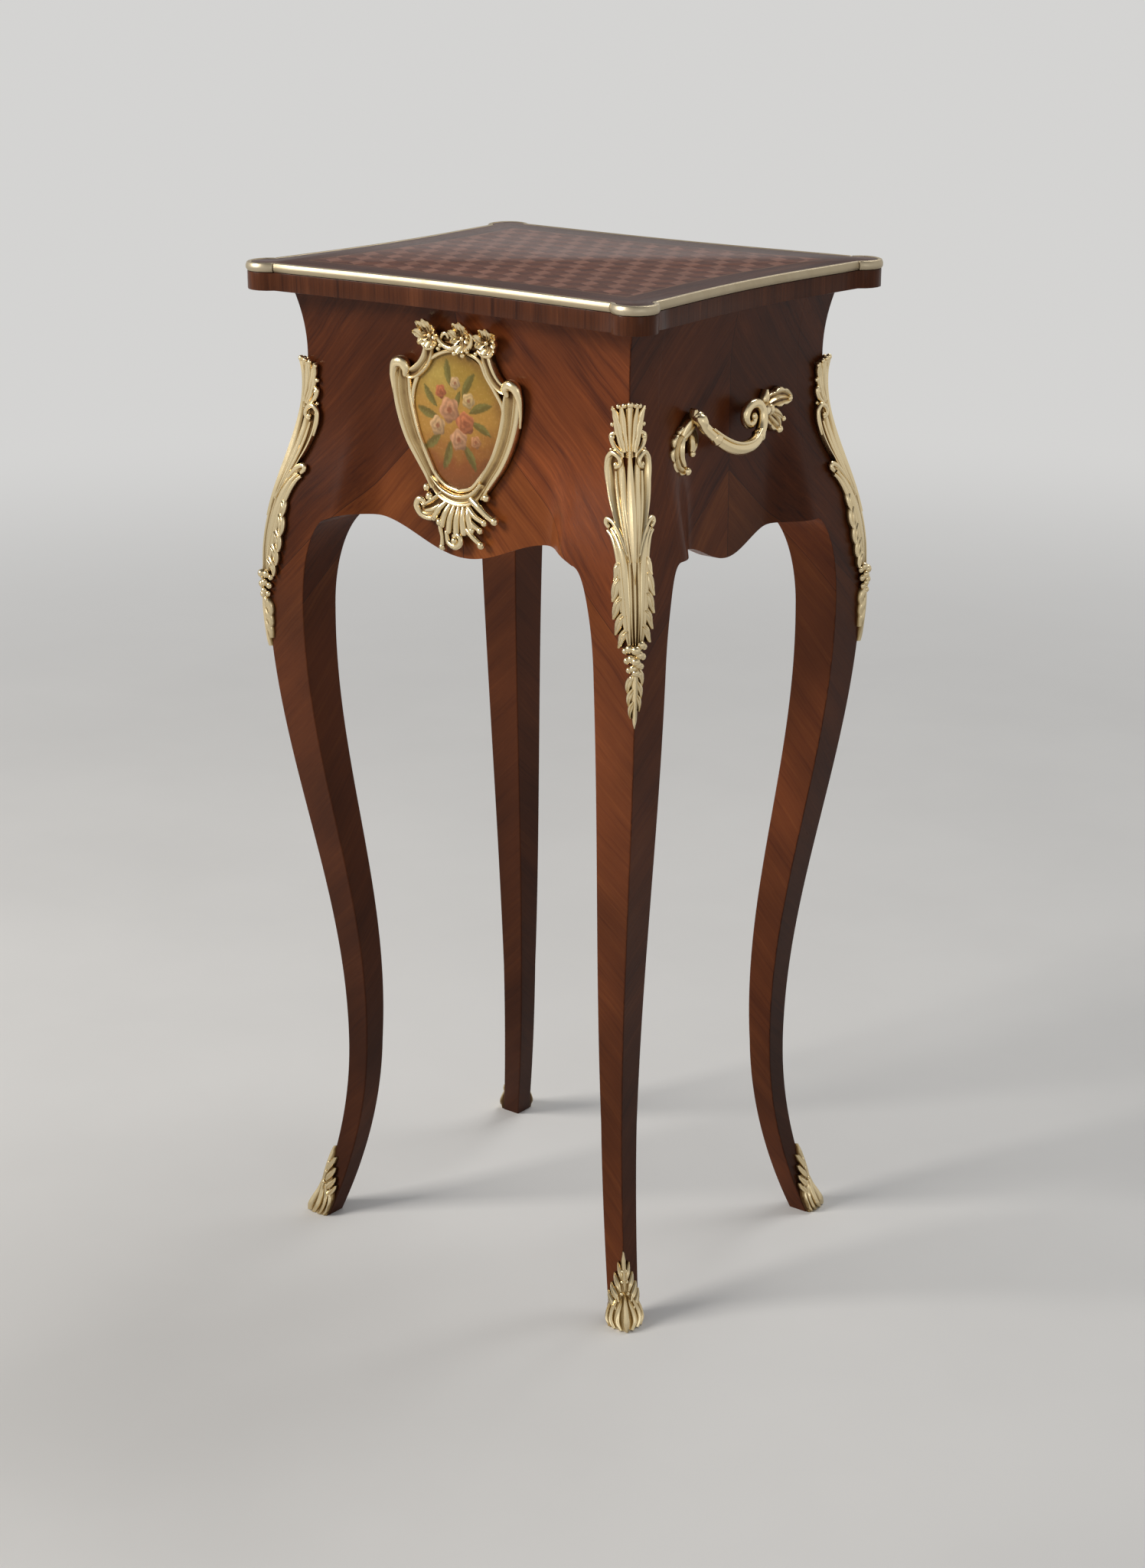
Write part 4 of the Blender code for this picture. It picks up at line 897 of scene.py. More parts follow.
def finishCasting(bm, name, replaced, unwrap, depth=casting["depth"]):
    bmesh.ops.remove_doubles(bm, verts=bm.verts, dist=casting["merge"])
    piece = pieceFrom(bm, name)
    settle(piece, "case", "gilt_bronze", [giltBronze], replaced, casting["smooth"])
    markHollows(piece)
    markDepth(piece, unwrap, depth)


def tools(place, level=lambda z: z * mm):  # a new casting and what it is laid with; tables in millimetres
    bm = bmesh.new()

    def metres(table, side):
        return [(side * a * mm, level(z), lift * mm, size * mm) for a, z, lift, size in table]

    def leaf(table, section, side=1, **options):
        addLeaf(bm, place, metres(table, side), section, **options)

    def tube(table, side=1, **options):
        addTube(bm, place, metres(table, side), **options)

    def beads(table, side=1):
        for a, z, lift, radius in metres(table, side):
            addBead(bm, place(a, z, lift), radius)

    return bm, leaf, tube, beads


def sectionOf(points, count=None):  # heights in millimetres across a leaf, from edge to edge
    if not count:
        return [(t, h * mm) for t, h in points]
    rows = throughPoints([(t, 0, h) for t, h in points], count)
    return [(t, h * mm) for t, _, h in rows]


def evenSection(half, count=None):  # alike on both sides of its middle
    return sectionOf([(-t, h) for t, h in reversed(half) if t] + half, count)


def mirrored(section):
    return [(-t, h) for t, h in reversed(section)]


ridge = evenSection([(0, 1.8), (0.2, 1.3), (0.5, 0.9), (0.85, 0.4), (1, 0)])
domed = evenSection([(0, 1.3), (0.25, 1.8), (0.6, 1.5), (0.9, 0.8), (1, 0)])
bar = evenSection([(0, 1.7), (0.45, 1.5), (0.82, 0.9), (1, 0)])
blade = evenSection([(0, 2.2), (0.15, 1.7), (0.5, 1.2), (0.85, 0.8), (1, 0)])
folded = evenSection([(0, 2.2), (0.14, 0.5), (0.26, 1.9), (0.4, 1.2), (0.5, 0.1), (0.56, 1.2), (0.7, 2.2),
                      (0.92, 1.7), (1, 0.4)], 37)
rolled = sectionOf([(-1, 0.4), (-0.93, 2.4), (-0.78, 3.2), (-0.6, 2.4), (-0.35, 0.7), (-0.05, 0.3), (0.25, 0.9),
                    (0.55, 2.0), (0.8, 1.8), (1, 0.5)], 19)


def arrisAt(z):
    out = arrisOut(z)
    return case["halfX"] + out, case["halfY"] + out


def onCorner(corner, rounding, blend):  # along the front or back face where a > 0, along the side where a < 0
    signX, signY = signsOf(corner)

    def place(a, z, lift):
        arrisX, arrisY = arrisAt(z)
        share = max(-1.0, min(1.0, a / rounding))
        turn = (1 + share) * math.pi / 4
        over = max(abs(a) - rounding, 0.0)
        # the lift turns slowly from one face's normal to the other's, so ribs on the arris stay narrow
        way = (1 + max(-1.0, min(1.0, a / blend))) * math.pi / 4
        x = arrisX - rounding + rounding * math.cos(turn) - (over if a > 0 else 0.0) + lift * math.cos(way)
        y = arrisY - rounding + rounding * math.sin(turn) - (over if a < 0 else 0.0) + lift * math.sin(way)
        return Vector((signX * x, signY * y, z))

    return place


# corner mounts on the knees; levels are shares of their length, from the top
chute = {"top": 0.677, "length": 0.2135, "rounding": 0.0015, "blend": 0.01, "depth": 0.0022}


def unwrapCorner(points):
    arrisX, arrisY = arrisAt(points[:, 2])
    inX, inY = arrisX - np.abs(points[:, 0]), arrisY - np.abs(points[:, 1])
    rounding = chute["rounding"]
    onArc = (inX < rounding) & (inY < rounding)
    lift = np.where(onArc, np.hypot(rounding - inX, rounding - inY) - rounding, -np.minimum(inX, inY))
    return inX - inY, points[:, 2], lift


def makeChute(corner):
    place = onCorner(corner, chute["rounding"], chute["blend"])
    bm, leaf, tube, beads = tools(place, lambda share: chute["top"] - share * chute["length"])
    # lower leaf in broad folds, its rib on the arris
    leaf([(0, 0.365, 1, 16.6), (0, 0.4, 1.2, 14.8), (0, 0.44, 1.3, 12.8), (0, 0.5, 1.2, 11.6), (0, 0.57, 1.1, 11.2),
          (0, 0.64, 1.1, 10.2), (0, 0.7, 1, 8), (0, 0.745, 1, 5)], folded, rows=44)
    # middle blade that widens, then runs to a point
    leaf([(0, 0.1, 1.6, 1.5), (0, 0.18, 1.9, 2), (0, 0.27, 2.3, 3), (0, 0.36, 2.5, 3.6), (0, 0.44, 2.4, 2.6),
          (0, 0.54, 1.8, 0.6)], blade, rows=30)
    for side in (1, -1):
        # upper scroll lobe, its outer edge rolled over a hollow
        outer = mirrored(rolled) if side == 1 else rolled
        leaf([(8, 0.155, 1.2, 3.6), (10.2, 0.19, 1.2, 6.2), (10.6, 0.235, 1.2, 7.2), (9.6, 0.29, 1.3, 6.8),
              (7.4, 0.345, 1.4, 5.4), (5, 0.405, 1.4, 3.8), (2.6, 0.475, 1.4, 1.6)], outer, side, rows=30)
        tube([(17.2, 0.255, 2.6, 1.1), (17.4, 0.205, 3, 1.5), (15, 0.172, 3.4, 1.9), (10.6, 0.158, 3.8, 2.1),
              (6.8, 0.171, 3.8, 1.9), (6.8, 0.195, 3.4, 1.6), (9.4, 0.203, 3, 1.4)], side, rows=26)
        beads([(9.2, 0.194, 3.2, 1.9)], side)
        # flutes that fall from the lobe to the blade
        leaf([(5.4, 0.205, 1.4, 1), (6, 0.26, 1.8, 1.5), (5.6, 0.33, 2, 1.7), (4.4, 0.4, 2, 1.4),
              (2.6, 0.48, 1.8, 0.7)], bar, side, rows=24)
        leaf([(10.2, 0.215, 1.2, 0.9), (9.6, 0.27, 1.6, 1.4), (8.2, 0.33, 1.8, 1.5), (6, 0.4, 1.8, 1.3),
              (4.2, 0.46, 1.6, 0.7)], bar, side, rows=22)
        # ear where the lower leaf rolls out, and the ribbons that sweep down from it
        tube([(4.6, 0.455, 2.6, 1.1), (7.2, 0.414, 2.8, 1.5), (10.4, 0.38, 3, 1.8), (14.6, 0.361, 3, 2),
              (18.2, 0.358, 2.8, 2.1), (19.6, 0.369, 2.6, 2), (18, 0.38, 2.4, 1.8)], side, rows=26)
        leaf([(18.8, 0.392, 1.8, 1.6), (15.8, 0.404, 2, 2), (13.2, 0.43, 2.2, 2.2), (11.2, 0.48, 2, 2.1),
              (10.4, 0.55, 1.8, 1.6), (9.8, 0.63, 1.6, 0.7)], bar, side, rows=28)
        leaf([(15.2, 0.384, 2.2, 1.5), (11.6, 0.404, 2.5, 2), (8.6, 0.44, 2.7, 2.5), (6.8, 0.5, 2.5, 2.6),
              (5.8, 0.58, 2.1, 2.3), (4.8, 0.66, 1.8, 1.6), (3.6, 0.735, 1.4, 0.8)], bar, side, rows=34)
        # lobes along its edge, lower on one face than on the other
        lobes = ((9.8, 0.462, 13.4, 0.528, 2.6), (9.8, 0.508, 15.2, 0.592, 3.3), (9, 0.568, 14.8, 0.646, 3.2),
                 (7.6, 0.62, 13, 0.694, 3), (5.8, 0.668, 10.4, 0.734, 2.6))
        for a0, s0, a1, s1, size in lobes:
            s0, s1 = s0 + 0.008 * side, s1 + 0.008 * side
            middle = (a0 + 0.66 * (a1 - a0), s0 + 0.42 * (s1 - s0))
            leaf([(a0, s0, 1.4, 1.4), (*middle, 2.6, size), (a1, s1 - 0.014, 2.6, size * 0.72),
                  (a1 + 0.5, s1, 3, 0.8)], domed, side, rows=14, thick=2.2)
            leaf([(a0, s0 + 0.012, 2.6, 0.5), (*middle, 3.4, 1), (a1, s1 - 0.01, 3.2, 0.5)], bar, side, rows=10)
        # crown leaves at the top
        leaf([(4.2, 0.155, 1.6, 2.2), (6.8, 0.11, 2, 3), (8.4, 0.07, 2.4, 3), (9.6, 0.038, 3, 2.2),
              (10.6, 0.016, 3.6, 0.9)], domed, side, rows=24, teeth=3, bite=0.3, thick=1.8)
        leaf([(1.8, 0.15, 1.8, 1), (3.2, 0.1, 2.4, 1.5), (4.2, 0.055, 3.2, 1.8), (5, 0.014, 4, 0.9)], bar, side,
             rows=14)
        tube([(5.6, 0.16, 2, 1.4), (9.6, 0.144, 2.4, 1.8), (12.2, 0.124, 2.6, 2), (12.4, 0.105, 2.6, 1.9),
              (10.4, 0.1, 2.4, 1.6)], side, rows=16)
        beads(((11.8, 0.113, 2.8, 2.2), (12, 0.074, 2.4, 1.8), (10.8, 0.026, 3.2, 1.8), (6.8, 0.014, 4, 1.9),
               (3.4, 0.01, 4.4, 2), (13.6, 0.152, 1.8, 1.5)), side)
        # husk knot
        knot = ((4, 0.735, 2.8, 3.2), (7, 0.744, 2, 2.6), (2.6, 0.765, 3.2, 3.2), (5.6, 0.774, 2.2, 2.8),
                (1.6, 0.795, 3, 2.8), (4.2, 0.804, 2.2, 2.5), (2.4, 0.828, 2.4, 2.3))
        beads([(a, s + 0.006 * side, lift, radius) for a, s, lift, radius in knot], side)
        # pendant husks, staggered from face to face
        husks = ((1.6, 0.81, 5.4, 0.876, 2.3), (1.4, 0.856, 4.6, 0.918, 2.1), (1, 0.898, 3.6, 0.956, 1.8))
        for a0, s0, a1, s1, size in husks:
            s0, s1 = s0 + 0.012 * side, s1 + 0.012 * side
            leaf([(a0, s0, 2, 1.2), ((a0 + a1) / 2 + 0.8, (s0 + s1) / 2 - 0.006, 2.6, size),
                  (a1, s1 - 0.016, 2, size * 0.7), (a1 - 0.4, s1, 1.6, 0.6)], domed, side, rows=12)
    leaf([(0, 0.17, 0.8, 7.4), (0, 0.1, 0.9, 7), (0, 0.05, 1.4, 7.4), (0, 0.02, 2.4, 7)], folded, rows=20)
    leaf([(0, 0.15, 1.8, 1.5), (0, 0.09, 2.2, 1.8), (0, 0.045, 3, 2), (0, 0.012, 4.4, 1.7)], blade, rows=16)
    beads([(0, 0.006, 5, 2.3), (0, 0.742, 3.8, 3.4), (0, 0.778, 3.6, 3.1), (0, 0.815, 3.2, 2.7)])
    leaf([(0, 0.81, 2.4, 2.2), (0, 0.86, 2.8, 3), (0, 0.91, 2.6, 2.7), (0, 0.955, 2.2, 2.2), (0, 0.985, 1.8, 1.5),
          (0, 1, 1.2, 0.6)], ridge, rows=24, teeth=3, bite=0.25)
    finishCasting(bm, camel("chute_" + corner), ["chute_" + corner], unwrapCorner, chute["depth"])


for corner in corners:
    makeChute(corner)
print("corner mounts done")


# shoes: a lobed leaf on each foot, over a fluted toe
shoe = {"rounding": 0.0015, "blend": 0.009, "depth": 0.0021}


def makeShoe(corner):
    bm, leaf, _, beads = tools(onCorner(corner, shoe["rounding"], shoe["blend"]))
    full = evenSection([(0, 2.1), (0.25, 2), (0.5, 1.8), (0.75, 1.6), (0.93, 1.4), (1, 0.5)])
    leaf([(0, 0.2, 1.6, 15.4), (0, 4, 1.8, 15.6), (0, 9, 1.8, 15.6), (0, 14, 1.4, 15), (0, 19, 0.8, 13),
          (0, 27, 0.6, 8.4), (0, 36, 0.5, 5.2), (0, 45, 0.4, 2.8), (0, 54, 0.4, 0.6)], full, rows=56)
    # toe: flutes that fan out from the middle of the leaf
    leaf([(0, 0.8, 4.4, 1.6), (0, 6, 6.2, 2), (0, 12, 5.4, 1.8), (0, 19, 3.4, 1.5), (0, 26, 2.4, 0.5)], ridge,
         rows=18)
    flutes = ([(4, 0.8, 4.2, 1.2), (5.6, 6, 5.8, 1.5), (5.2, 12, 5, 1.4), (3.2, 19, 3.2, 1.1), (2, 24, 2.4, 0.4)],
              [(8.2, 0.8, 3.8, 1.2), (10, 6, 5.2, 1.5), (9.4, 12, 4.6, 1.4), (6.6, 19, 3, 1.1), (4.6, 24, 2.2, 0.4)],
              [(12.2, 0.8, 3, 1.2), (14, 5.6, 4.2, 1.6), (13.4, 11, 3.8, 1.4), (10.6, 17.6, 2.6, 1.1),
               (8.2, 22, 1.8, 0.4)])
    for side, table in ((side, table) for side in (1, -1) for table in flutes):
        leaf(table, ridge, side, rows=18)
    for side in (1, -1):
        for z, a, reach, size in ((13, 7, 12, 2.4), (19, 5, 9.2, 2.4), (26.5, 3.4, 6.4, 2.1), (34.5, 1.8, 3.8, 1.7)):
            leaf([(a, z, 1.8, 1.2), ((a + reach) / 2, z + 4.4, 2.8, size), (reach, z + 9, 2.2, size * 0.75),
                  (reach + 0.6, z + 12, 1.6, 0.6)], domed, side, rows=12)
        beads([(2.2, 25, 3, 1.5), (1.6, 33.5, 3, 1.5), (0.9, 41, 3, 1.5)], side)
    leaf([(0, 26, 2.2, 0.8), (0, 34, 2.8, 1.6), (0, 44, 2.6, 1.9), (0, 50, 2, 1.4), (0, 54.5, 0.9, 0.5)], ridge,
         rows=16)
    finishCasting(bm, camel("shoe_" + corner), ["shoe_" + corner], unwrapCorner, shoe["depth"])


for corner in corners:
    makeShoe(corner)
print("shoes done")


# painted plaque in its cast frame
plaque = {"x": -0.0035, "z": 0.6526, "face": -0.1158, "rings": 72, "spokes": 200, "overlap": 1.5, "seat": 0.0023,
          "dome": 0.0016, "thickness": 0.0018}


def onFront(u, v, lift):  # right and up from the plaque's middle, and off the panel
    z = plaque["z"] + v
    flare = case["flare"] * (max(z - case["waist"], 0) / case["flareHeight"]) ** 2
    return Vector((plaque["x"] + u, plaque["face"] - flare - lift, z))


def unwrapFront(points):
    return points[:, 0], points[:, 2], plaque["face"] - points[:, 1]


def makeFrame():
    bm, leaf, tube, beads = tools(onFront)
    # inner moulding round the opening
    opening = [(3.6, -54), (-8, -51.6), (-16, -46), (-25.6, -32), (-34, -13), (-38, 4), (-35, 18), (-27, 30),
               (-17, 38), (-6, 42.5), (4, 43.5), (15, 42.5), (23.5, 38.5), (28.6, 29), (36.5, 19), (43, 9),
               (41.6, -10), (33, -29), (22, -43), (14, -51), (3.6, -54)]
    tube([(u, v, 3, 1.8) for u, v in opening], rows=120, sides=12)
    # broad side scrolls, section from the outer edge in
    side = sectionOf([(-1, 0.6), (-0.95, 2.6), (-0.84, 3.8), (-0.7, 3.3), (-0.52, 2.6), (-0.3, 2.2), (-0.08, 2.3),
                      (0.12, 2.9), (0.28, 3.7), (0.38, 3.3), (0.52, 3.8), (0.7, 4.2), (0.9, 3.6), (1, 1.2)], 31)
    leaf([(-45.6, 28, 2, 6), (-46.4, 20, 2, 8), (-46.2, 10, 2, 8.4), (-42.4, -6.5, 2, 8.2), (-37, -20.5, 1.8, 7.4),
          (-30, -32, 1.6, 6.4), (-23, -43, 1.4, 5.4), (-17.6, -53, 1.2, 4.4)], mirrored(side), rows=50)
    leaf([(52.4, 23, 2, 5.8), (52, 14, 2, 8), (50.6, 3, 2, 8.2), (46.4, -13, 2, 7.8), (39, -29, 1.8, 7),
          (29.4, -43, 1.6, 6), (21.6, -55, 1.2, 4.6)], side, rows=50)
    # their rolled tops
    tube([(-52.8, 0, 3, 1), (-54.2, 13, 4, 1.9), (-53.4, 23.4, 5, 3.2), (-49.2, 30.8, 5.8, 4.4),
          (-44.4, 31.2, 5.6, 4.4), (-41.6, 27, 5.2, 3.7), (-42.8, 22.8, 4.4, 2.6)], rows=32, sides=14)
    tube([(58, -3, 3, 1), (59.2, 8.4, 3.8, 1.9), (58.4, 18, 4.8, 3), (55, 24.6, 5.6, 4), (50.6, 25.4, 5.4, 4),
          (47.2, 22.2, 5, 3.4), (47.8, 18.4, 4.2, 2.4)], rows=32, sides=14)
    # arms up to the crest
    arm = sectionOf([(-1, 0.4), (-0.9, 2.6), (-0.66, 4), (-0.4, 3.4), (-0.1, 1.9), (0.2, 1.6), (0.5, 2.6),
                     (0.75, 2.8), (1, 0.4)], 19)
    leaf([(-44.5, 25, 2.4, 4.4), (-38, 24, 2.6, 4.8), (-30.5, 28, 2.8, 4.8), (-24, 35, 3, 4.6), (-19.6, 45, 3, 4.2)],
         mirrored(arm), rows=26)
    leaf([(49.6, 20.6, 2.4, 4.2), (42.4, 22.6, 2.6, 4.8), (35.8, 28.6, 2.8, 5), (31.6, 37, 3, 4.8),
          (29.4, 47, 3, 4.4)], arm, rows=26)
    # crest: three bunches of curled leaves on a band
    leaf([(-21, 47, 2.4, 4.4), (-11, 49.4, 3, 4.4), (0, 49.6, 3, 3.8), (10, 50, 3.2, 4.4), (21, 49.2, 3, 4.4),
          (34, 47.6, 2.6, 4.6)], domed, rows=34, teeth=9, bite=0.24, vein=0.9)
    curled = evenSection([(0, 1.3), (0.14, 0.9), (0.4, 0.4), (0.75, 0.5), (1, 0.9)])
    # middle of each bunch, then the turn and length of its leaves
    bunches = (
        (-17.1, 52.7, ((212, 11.5), (172, 12.6), (135, 13), (98, 11.8), (56, 9.6), (8, 8.6), (-46, 8.6), (-100, 9))),
        (12.2, 53.3, ((196, 9.4), (154, 10.2), (116, 11.6), (80, 12), (42, 9.6), (0, 8.2), (-52, 9.8), (-110, 11.4))),
        (33.6, 52.3, ((198, 9.4), (156, 9.8), (110, 9.8), (70, 11), (36, 11.6), (0, 10.6), (-44, 9.6), (-104, 8.8))),
    )
    for cu, cv, turns in bunches:
        for k, (turn, length) in enumerate(turns):
            a, b = math.cos(math.radians(turn)), math.sin(math.radians(turn))
            rise = 1.2 * (k % 2)  # every other leaf lies over its neighbours
            bend = 1.6 if k % 3 else -1.6
            # how far out, how far aside, lift and half-width
            rows = ((1, 0, 4, 1.4), (0.45 * length, bend, 5.2, 3.3), (0.8 * length, 0, 7, 2.9), (length, 0, 8.2, 1.1))
            table = [(cu + a * far - b * aside, cv + b * far + a * aside, lift + rise, size)
                     for far, aside, lift, size in rows]
            leaf(table, curled, rows=18, teeth=2, bite=0.35, thick=1.6)
        beads([(cu, cv, 6.4, 1.9)])
    # curls that tie the bunches together
    curls = (
        [(-12, 55, 5.4, 1.4), (-8.6, 50, 6.2, 1.8), (-3.4, 46.4, 6.4, 2), (2, 45.4, 6.4, 1.9), (6, 47.6, 6.4, 1.6)],
        [(11.6, 45, 5.4, 1.6), (16.4, 46.8, 6.2, 1.9), (20, 51, 6.4, 1.8), (20.4, 56, 6.2, 1.5),
         (17.6, 58, 5.8, 1.3)],
        [(-7.6, 51.6, 5.2, 1.3), (-4.6, 55, 6, 1.6), (-1.6, 55.4, 6, 1.4), (-0.8, 52.8, 5.6, 1.2)],
        [(-26, 46, 4.6, 1.6), (-22, 43.6, 5.4, 1.9), (-16.6, 44.4, 5.8, 1.8), (-12.6, 47.4, 5.8, 1.4)],
        [(24, 45.6, 4.6, 1.5), (29, 43.4, 5.4, 1.9), (35, 44, 5.8, 1.9), (39, 47.6, 5.6, 1.4)],
    )
    for table in curls:
        tube(table, rows=20, sides=12)
    beads(((10.6, 41.4, 5.4, 2.2), (3, 42, 5.4, 1.9), (-8.8, 46.6, 5.8, 1.7), (15, 44.4, 5.6, 1.7),
           (-11.4, 44, 5, 1.8), (22, 43.6, 5, 1.7)))
    # smooth collar under the opening, then a fan of flutes
    leaf([(-22, -48, 2.2, 3.4), (-13, -56, 3, 4.6), (3.2, -60.4, 3.4, 5), (17, -56.6, 3, 4.6), (26, -47, 2.2, 3.4)],
         mirrored(arm), rows=30)
    leaf([(2.8, -58, 1, 16), (2.6, -65, 1.6, 18), (2.2, -73, 2, 16), (2, -81, 2, 11), (2, -86, 1.6, 7)], domed,
         rows=20)
    for top, low, size in (((-8, -63), (-17, -74), 2.7), ((-4.4, -64), (-10.4, -79), 2.8),
                           ((-0.6, -64.5), (-4.4, -82.5), 2.9), ((3.4, -64.5), (2.6, -84), 3),
                           ((7.4, -64), (9.2, -82), 2.9), ((11.4, -63), (15.4, -78), 2.8)):
        middle = ((top[0] + low[0]) / 2, (top[1] + low[1]) / 2 + 1)
        tube([(*top, 3.4, 1.7), (*middle, 5.4, size * 0.86), (*low, 5.2, size)], rows=16, sides=12)
    # rosette at the bottom, curls and knobbed prongs beside it
    tube([(-7, -84, 5, 1.8), (-4, -91, 5.8, 2.3), (2.4, -93, 6.2, 2.4), (7, -89, 6.2, 2.3), (5, -84.6, 6, 2.1),
          (0.6, -85.6, 6, 1.9)], rows=26, sides=12)
    leaf([(-9, -58, 2.6, 4), (-15, -64.5, 3.6, 5.8), (-21.6, -69, 4, 5.8), (-28, -70.4, 4, 4.4),
          (-31.6, -67.6, 3.6, 2.8)], rolled, rows=24)
    tube([(-17, -75.4, 3.8, 1.4), (-24.4, -76.2, 4.6, 2.1), (-31.2, -73.2, 5, 2.6), (-34, -67.6, 5.2, 2.8),
          (-30.8, -63.4, 5, 2.5), (-27.2, -65.2, 4.6, 2), (-27.8, -68.4, 4.4, 1.6)], rows=28, sides=12)
    tube([(-13.6, -66, 4.4, 1.5), (-19.4, -69.4, 5.4, 1.7), (-25, -71, 5.4, 1.4)], rows=12)
    prongs = (
        [(-10, -74, 4.4, 2.6), (-12.4, -80, 5, 2.2), (-11.4, -88, 4.4, 1.8), (-12, -94.6, 3.8, 2.2)],
        [(15, -58, 3.4, 3), (22, -62, 4.8, 3), (29, -67, 5, 2.4), (35.6, -70.6, 4.6, 2.4)],
        [(13, -65, 3.8, 2.6), (19, -69.4, 4.8, 2.3), (26, -72.6, 4.6, 2.1)],
        [(12, -72, 3.8, 2.6), (17, -75.4, 4.8, 2.3), (22.4, -78.6, 4.2, 2.1)],
        [(10, -79, 3.8, 2.6), (16, -83.6, 4.8, 2.3), (22.8, -88.6, 4.2, 2.1)],
    )
    for table in prongs:
        tube(table, rows=18, sides=12)
    beads(((-25.6, -54.8, 3.6, 3.2), (-22.6, -60.6, 4.2, 3.4), (28.2, -55.4, 3.6, 3.2), (36.4, -70.6, 4.8, 3.3),
           (27, -73, 4.6, 2.8), (-12, -95.4, 4, 2.7), (23.6, -89.2, 4.4, 3.1), (23, -79, 4.4, 2.8),
           (1.6, -88.8, 6.6, 2.8), (-12.2, -77.4, 6.2, 3), (16.4, -79.6, 5.4, 2.6), (-18.6, -75.4, 4.8, 2.6)))
    finishCasting(bm, "plaqueFrame", ["plaque_frame"], unwrapFront)


makeFrame()

# the painting: a bouquet on a sky that turns from olive to rust
painting = {
    "skyTop": (0.36, 0.215, 0.034), "skyMid": (0.46, 0.235, 0.046), "ground": (0.26, 0.078, 0.016),
    "glow": (0.58, 0.43, 0.11), "edge": (0.15, 0.060, 0.014), "leafDark": (0.11, 0.095, 0.020),
    "leafLight": (0.24, 0.20, 0.050), "leafVein": (0.30, 0.25, 0.08), "heart": (0.26, 0.075, 0.03),
    "blooms": ((-4, 2, 9.0, (0.66, 0.32, 0.16)), (10, -6, 8.0, (0.60, 0.20, 0.08)),
               (-15, -10, 7.0, (0.70, 0.42, 0.20)), (4, -18, 7.5, (0.68, 0.35, 0.18)),
               (13, 10, 5.5, (0.72, 0.48, 0.21)), (-12, 14, 5.0, (0.58, 0.18, 0.07)),
               (1, 21, 4.5, (0.70, 0.44, 0.22)), (19, -18, 4.5, (0.62, 0.28, 0.12))),
    "leaves": ((-24, -2, 165, 11), (-22, 10, 130, 10), (-6, 28, 100, 10), (12, 21, 60, 11), (23, 6, 20, 11),
               (24, -8, -25, 10), (14, -29, -60, 11), (-6, -30, -110, 12), (-20, -22, 215, 11), (3, 9, 75, 8)),
}


def plaqueRadius(angle):  # millimetres, the solid's opening
    degrees = math.degrees(angle) % 360
    marks = ((-15, 40.4), (20, 41.5), (50, 40.0), (90, 41.0), (130, 41.0), (170, 42.5), (205, 42.0), (235, 44.8),
             (270, 54.0), (305, 43.7), (345, 40.4), (380, 41.5))
    return float(np.interp(degrees, [m[0] for m in marks], [m[1] for m in marks]))


def soften(value, low, high):
    t = np.clip((value - low) / (high - low), 0, 1)
    return t * t * (3 - 2 * t)


def paintColours(spots):
    u, v = spots[:, 0], spots[:, 1]
    rough = np.array([noise.noise(Vector((a * 0.12, b * 0.12, 3.0))) for a, b in spots])
    fine = np.array([noise.noise(Vector((a * 0.6, b * 0.6, 9.0))) for a, b in spots])
    colours = np.ones((len(spots), 4))

    def lay(colour, cover):
        colours[:, :3] = colours[:, :3] * (1 - cover[:, None]) + np.asarray(colour) * cover[:, None]

    colours[:, :3] = painting["skyTop"]
    lay(painting["skyMid"], soften(-v + 9 * rough, -28, 4))
    lay(painting["ground"], soften(-v + 10 * rough + 0.1 * u, 2, 40))
    lay(painting["glow"], 0.55 * np.exp(-((u + 16) ** 2 + (v - 26) ** 2) / 260) * (0.8 + 0.6 * rough))
    reach = np.hypot(u, v) / np.array([plaqueRadius(math.atan2(b, a)) for a, b in spots])
    lay(painting["edge"], 0.6 * soften(reach + 0.08 * rough, 0.72, 1.06))
    for cu, cv, turn, length in painting["leaves"]:
        a = math.radians(turn)
        along = ((u - cu) * math.cos(a) + (v - cv) * math.sin(a)) / length
        across = (-(u - cu) * math.sin(a) + (v - cv) * math.cos(a)) / length
        inside = 0.30 * (1 - along ** 2) - np.abs(across + 0.10 * along ** 2) + 0.04 * fine
        blade = soften(inside, -0.02, 0.04) * (np.abs(along) < 1)
        lay(painting["leafDark"], 0.85 * blade)
        lay(painting["leafLight"], 0.6 * blade * soften(across, -0.02, 0.12))
        lay(painting["leafVein"], 0.5 * blade * soften(0.03 - np.abs(across), 0.0, 0.03))
    for cu, cv, size, colour in painting["blooms"]:
        r = np.hypot(u - cu, v - cv) / size
        turn = np.arctan2(v - cv, u - cu)
        rim = 1 + 0.10 * np.cos(5 * turn + cu) + 0.06 * fine
        petal = soften(rim - r, -0.03, 0.10)
        fold = 0.5 + 0.5 * np.cos(11 * r - 1.6 * np.cos(3 * turn + cv) + turn)
        light = np.clip(0.75 + 0.35 * ((u - cu) * -0.5 + (v - cv) * 0.8) / size, 0.4, 1.25)
        lay((light * (0.72 + 0.34 * fold))[:, None] * np.asarray(colour), petal)
        lay(painting["heart"], 0.8 * soften(0.34 - r, -0.02, 0.2))
    return np.clip(colours, 0, 1)


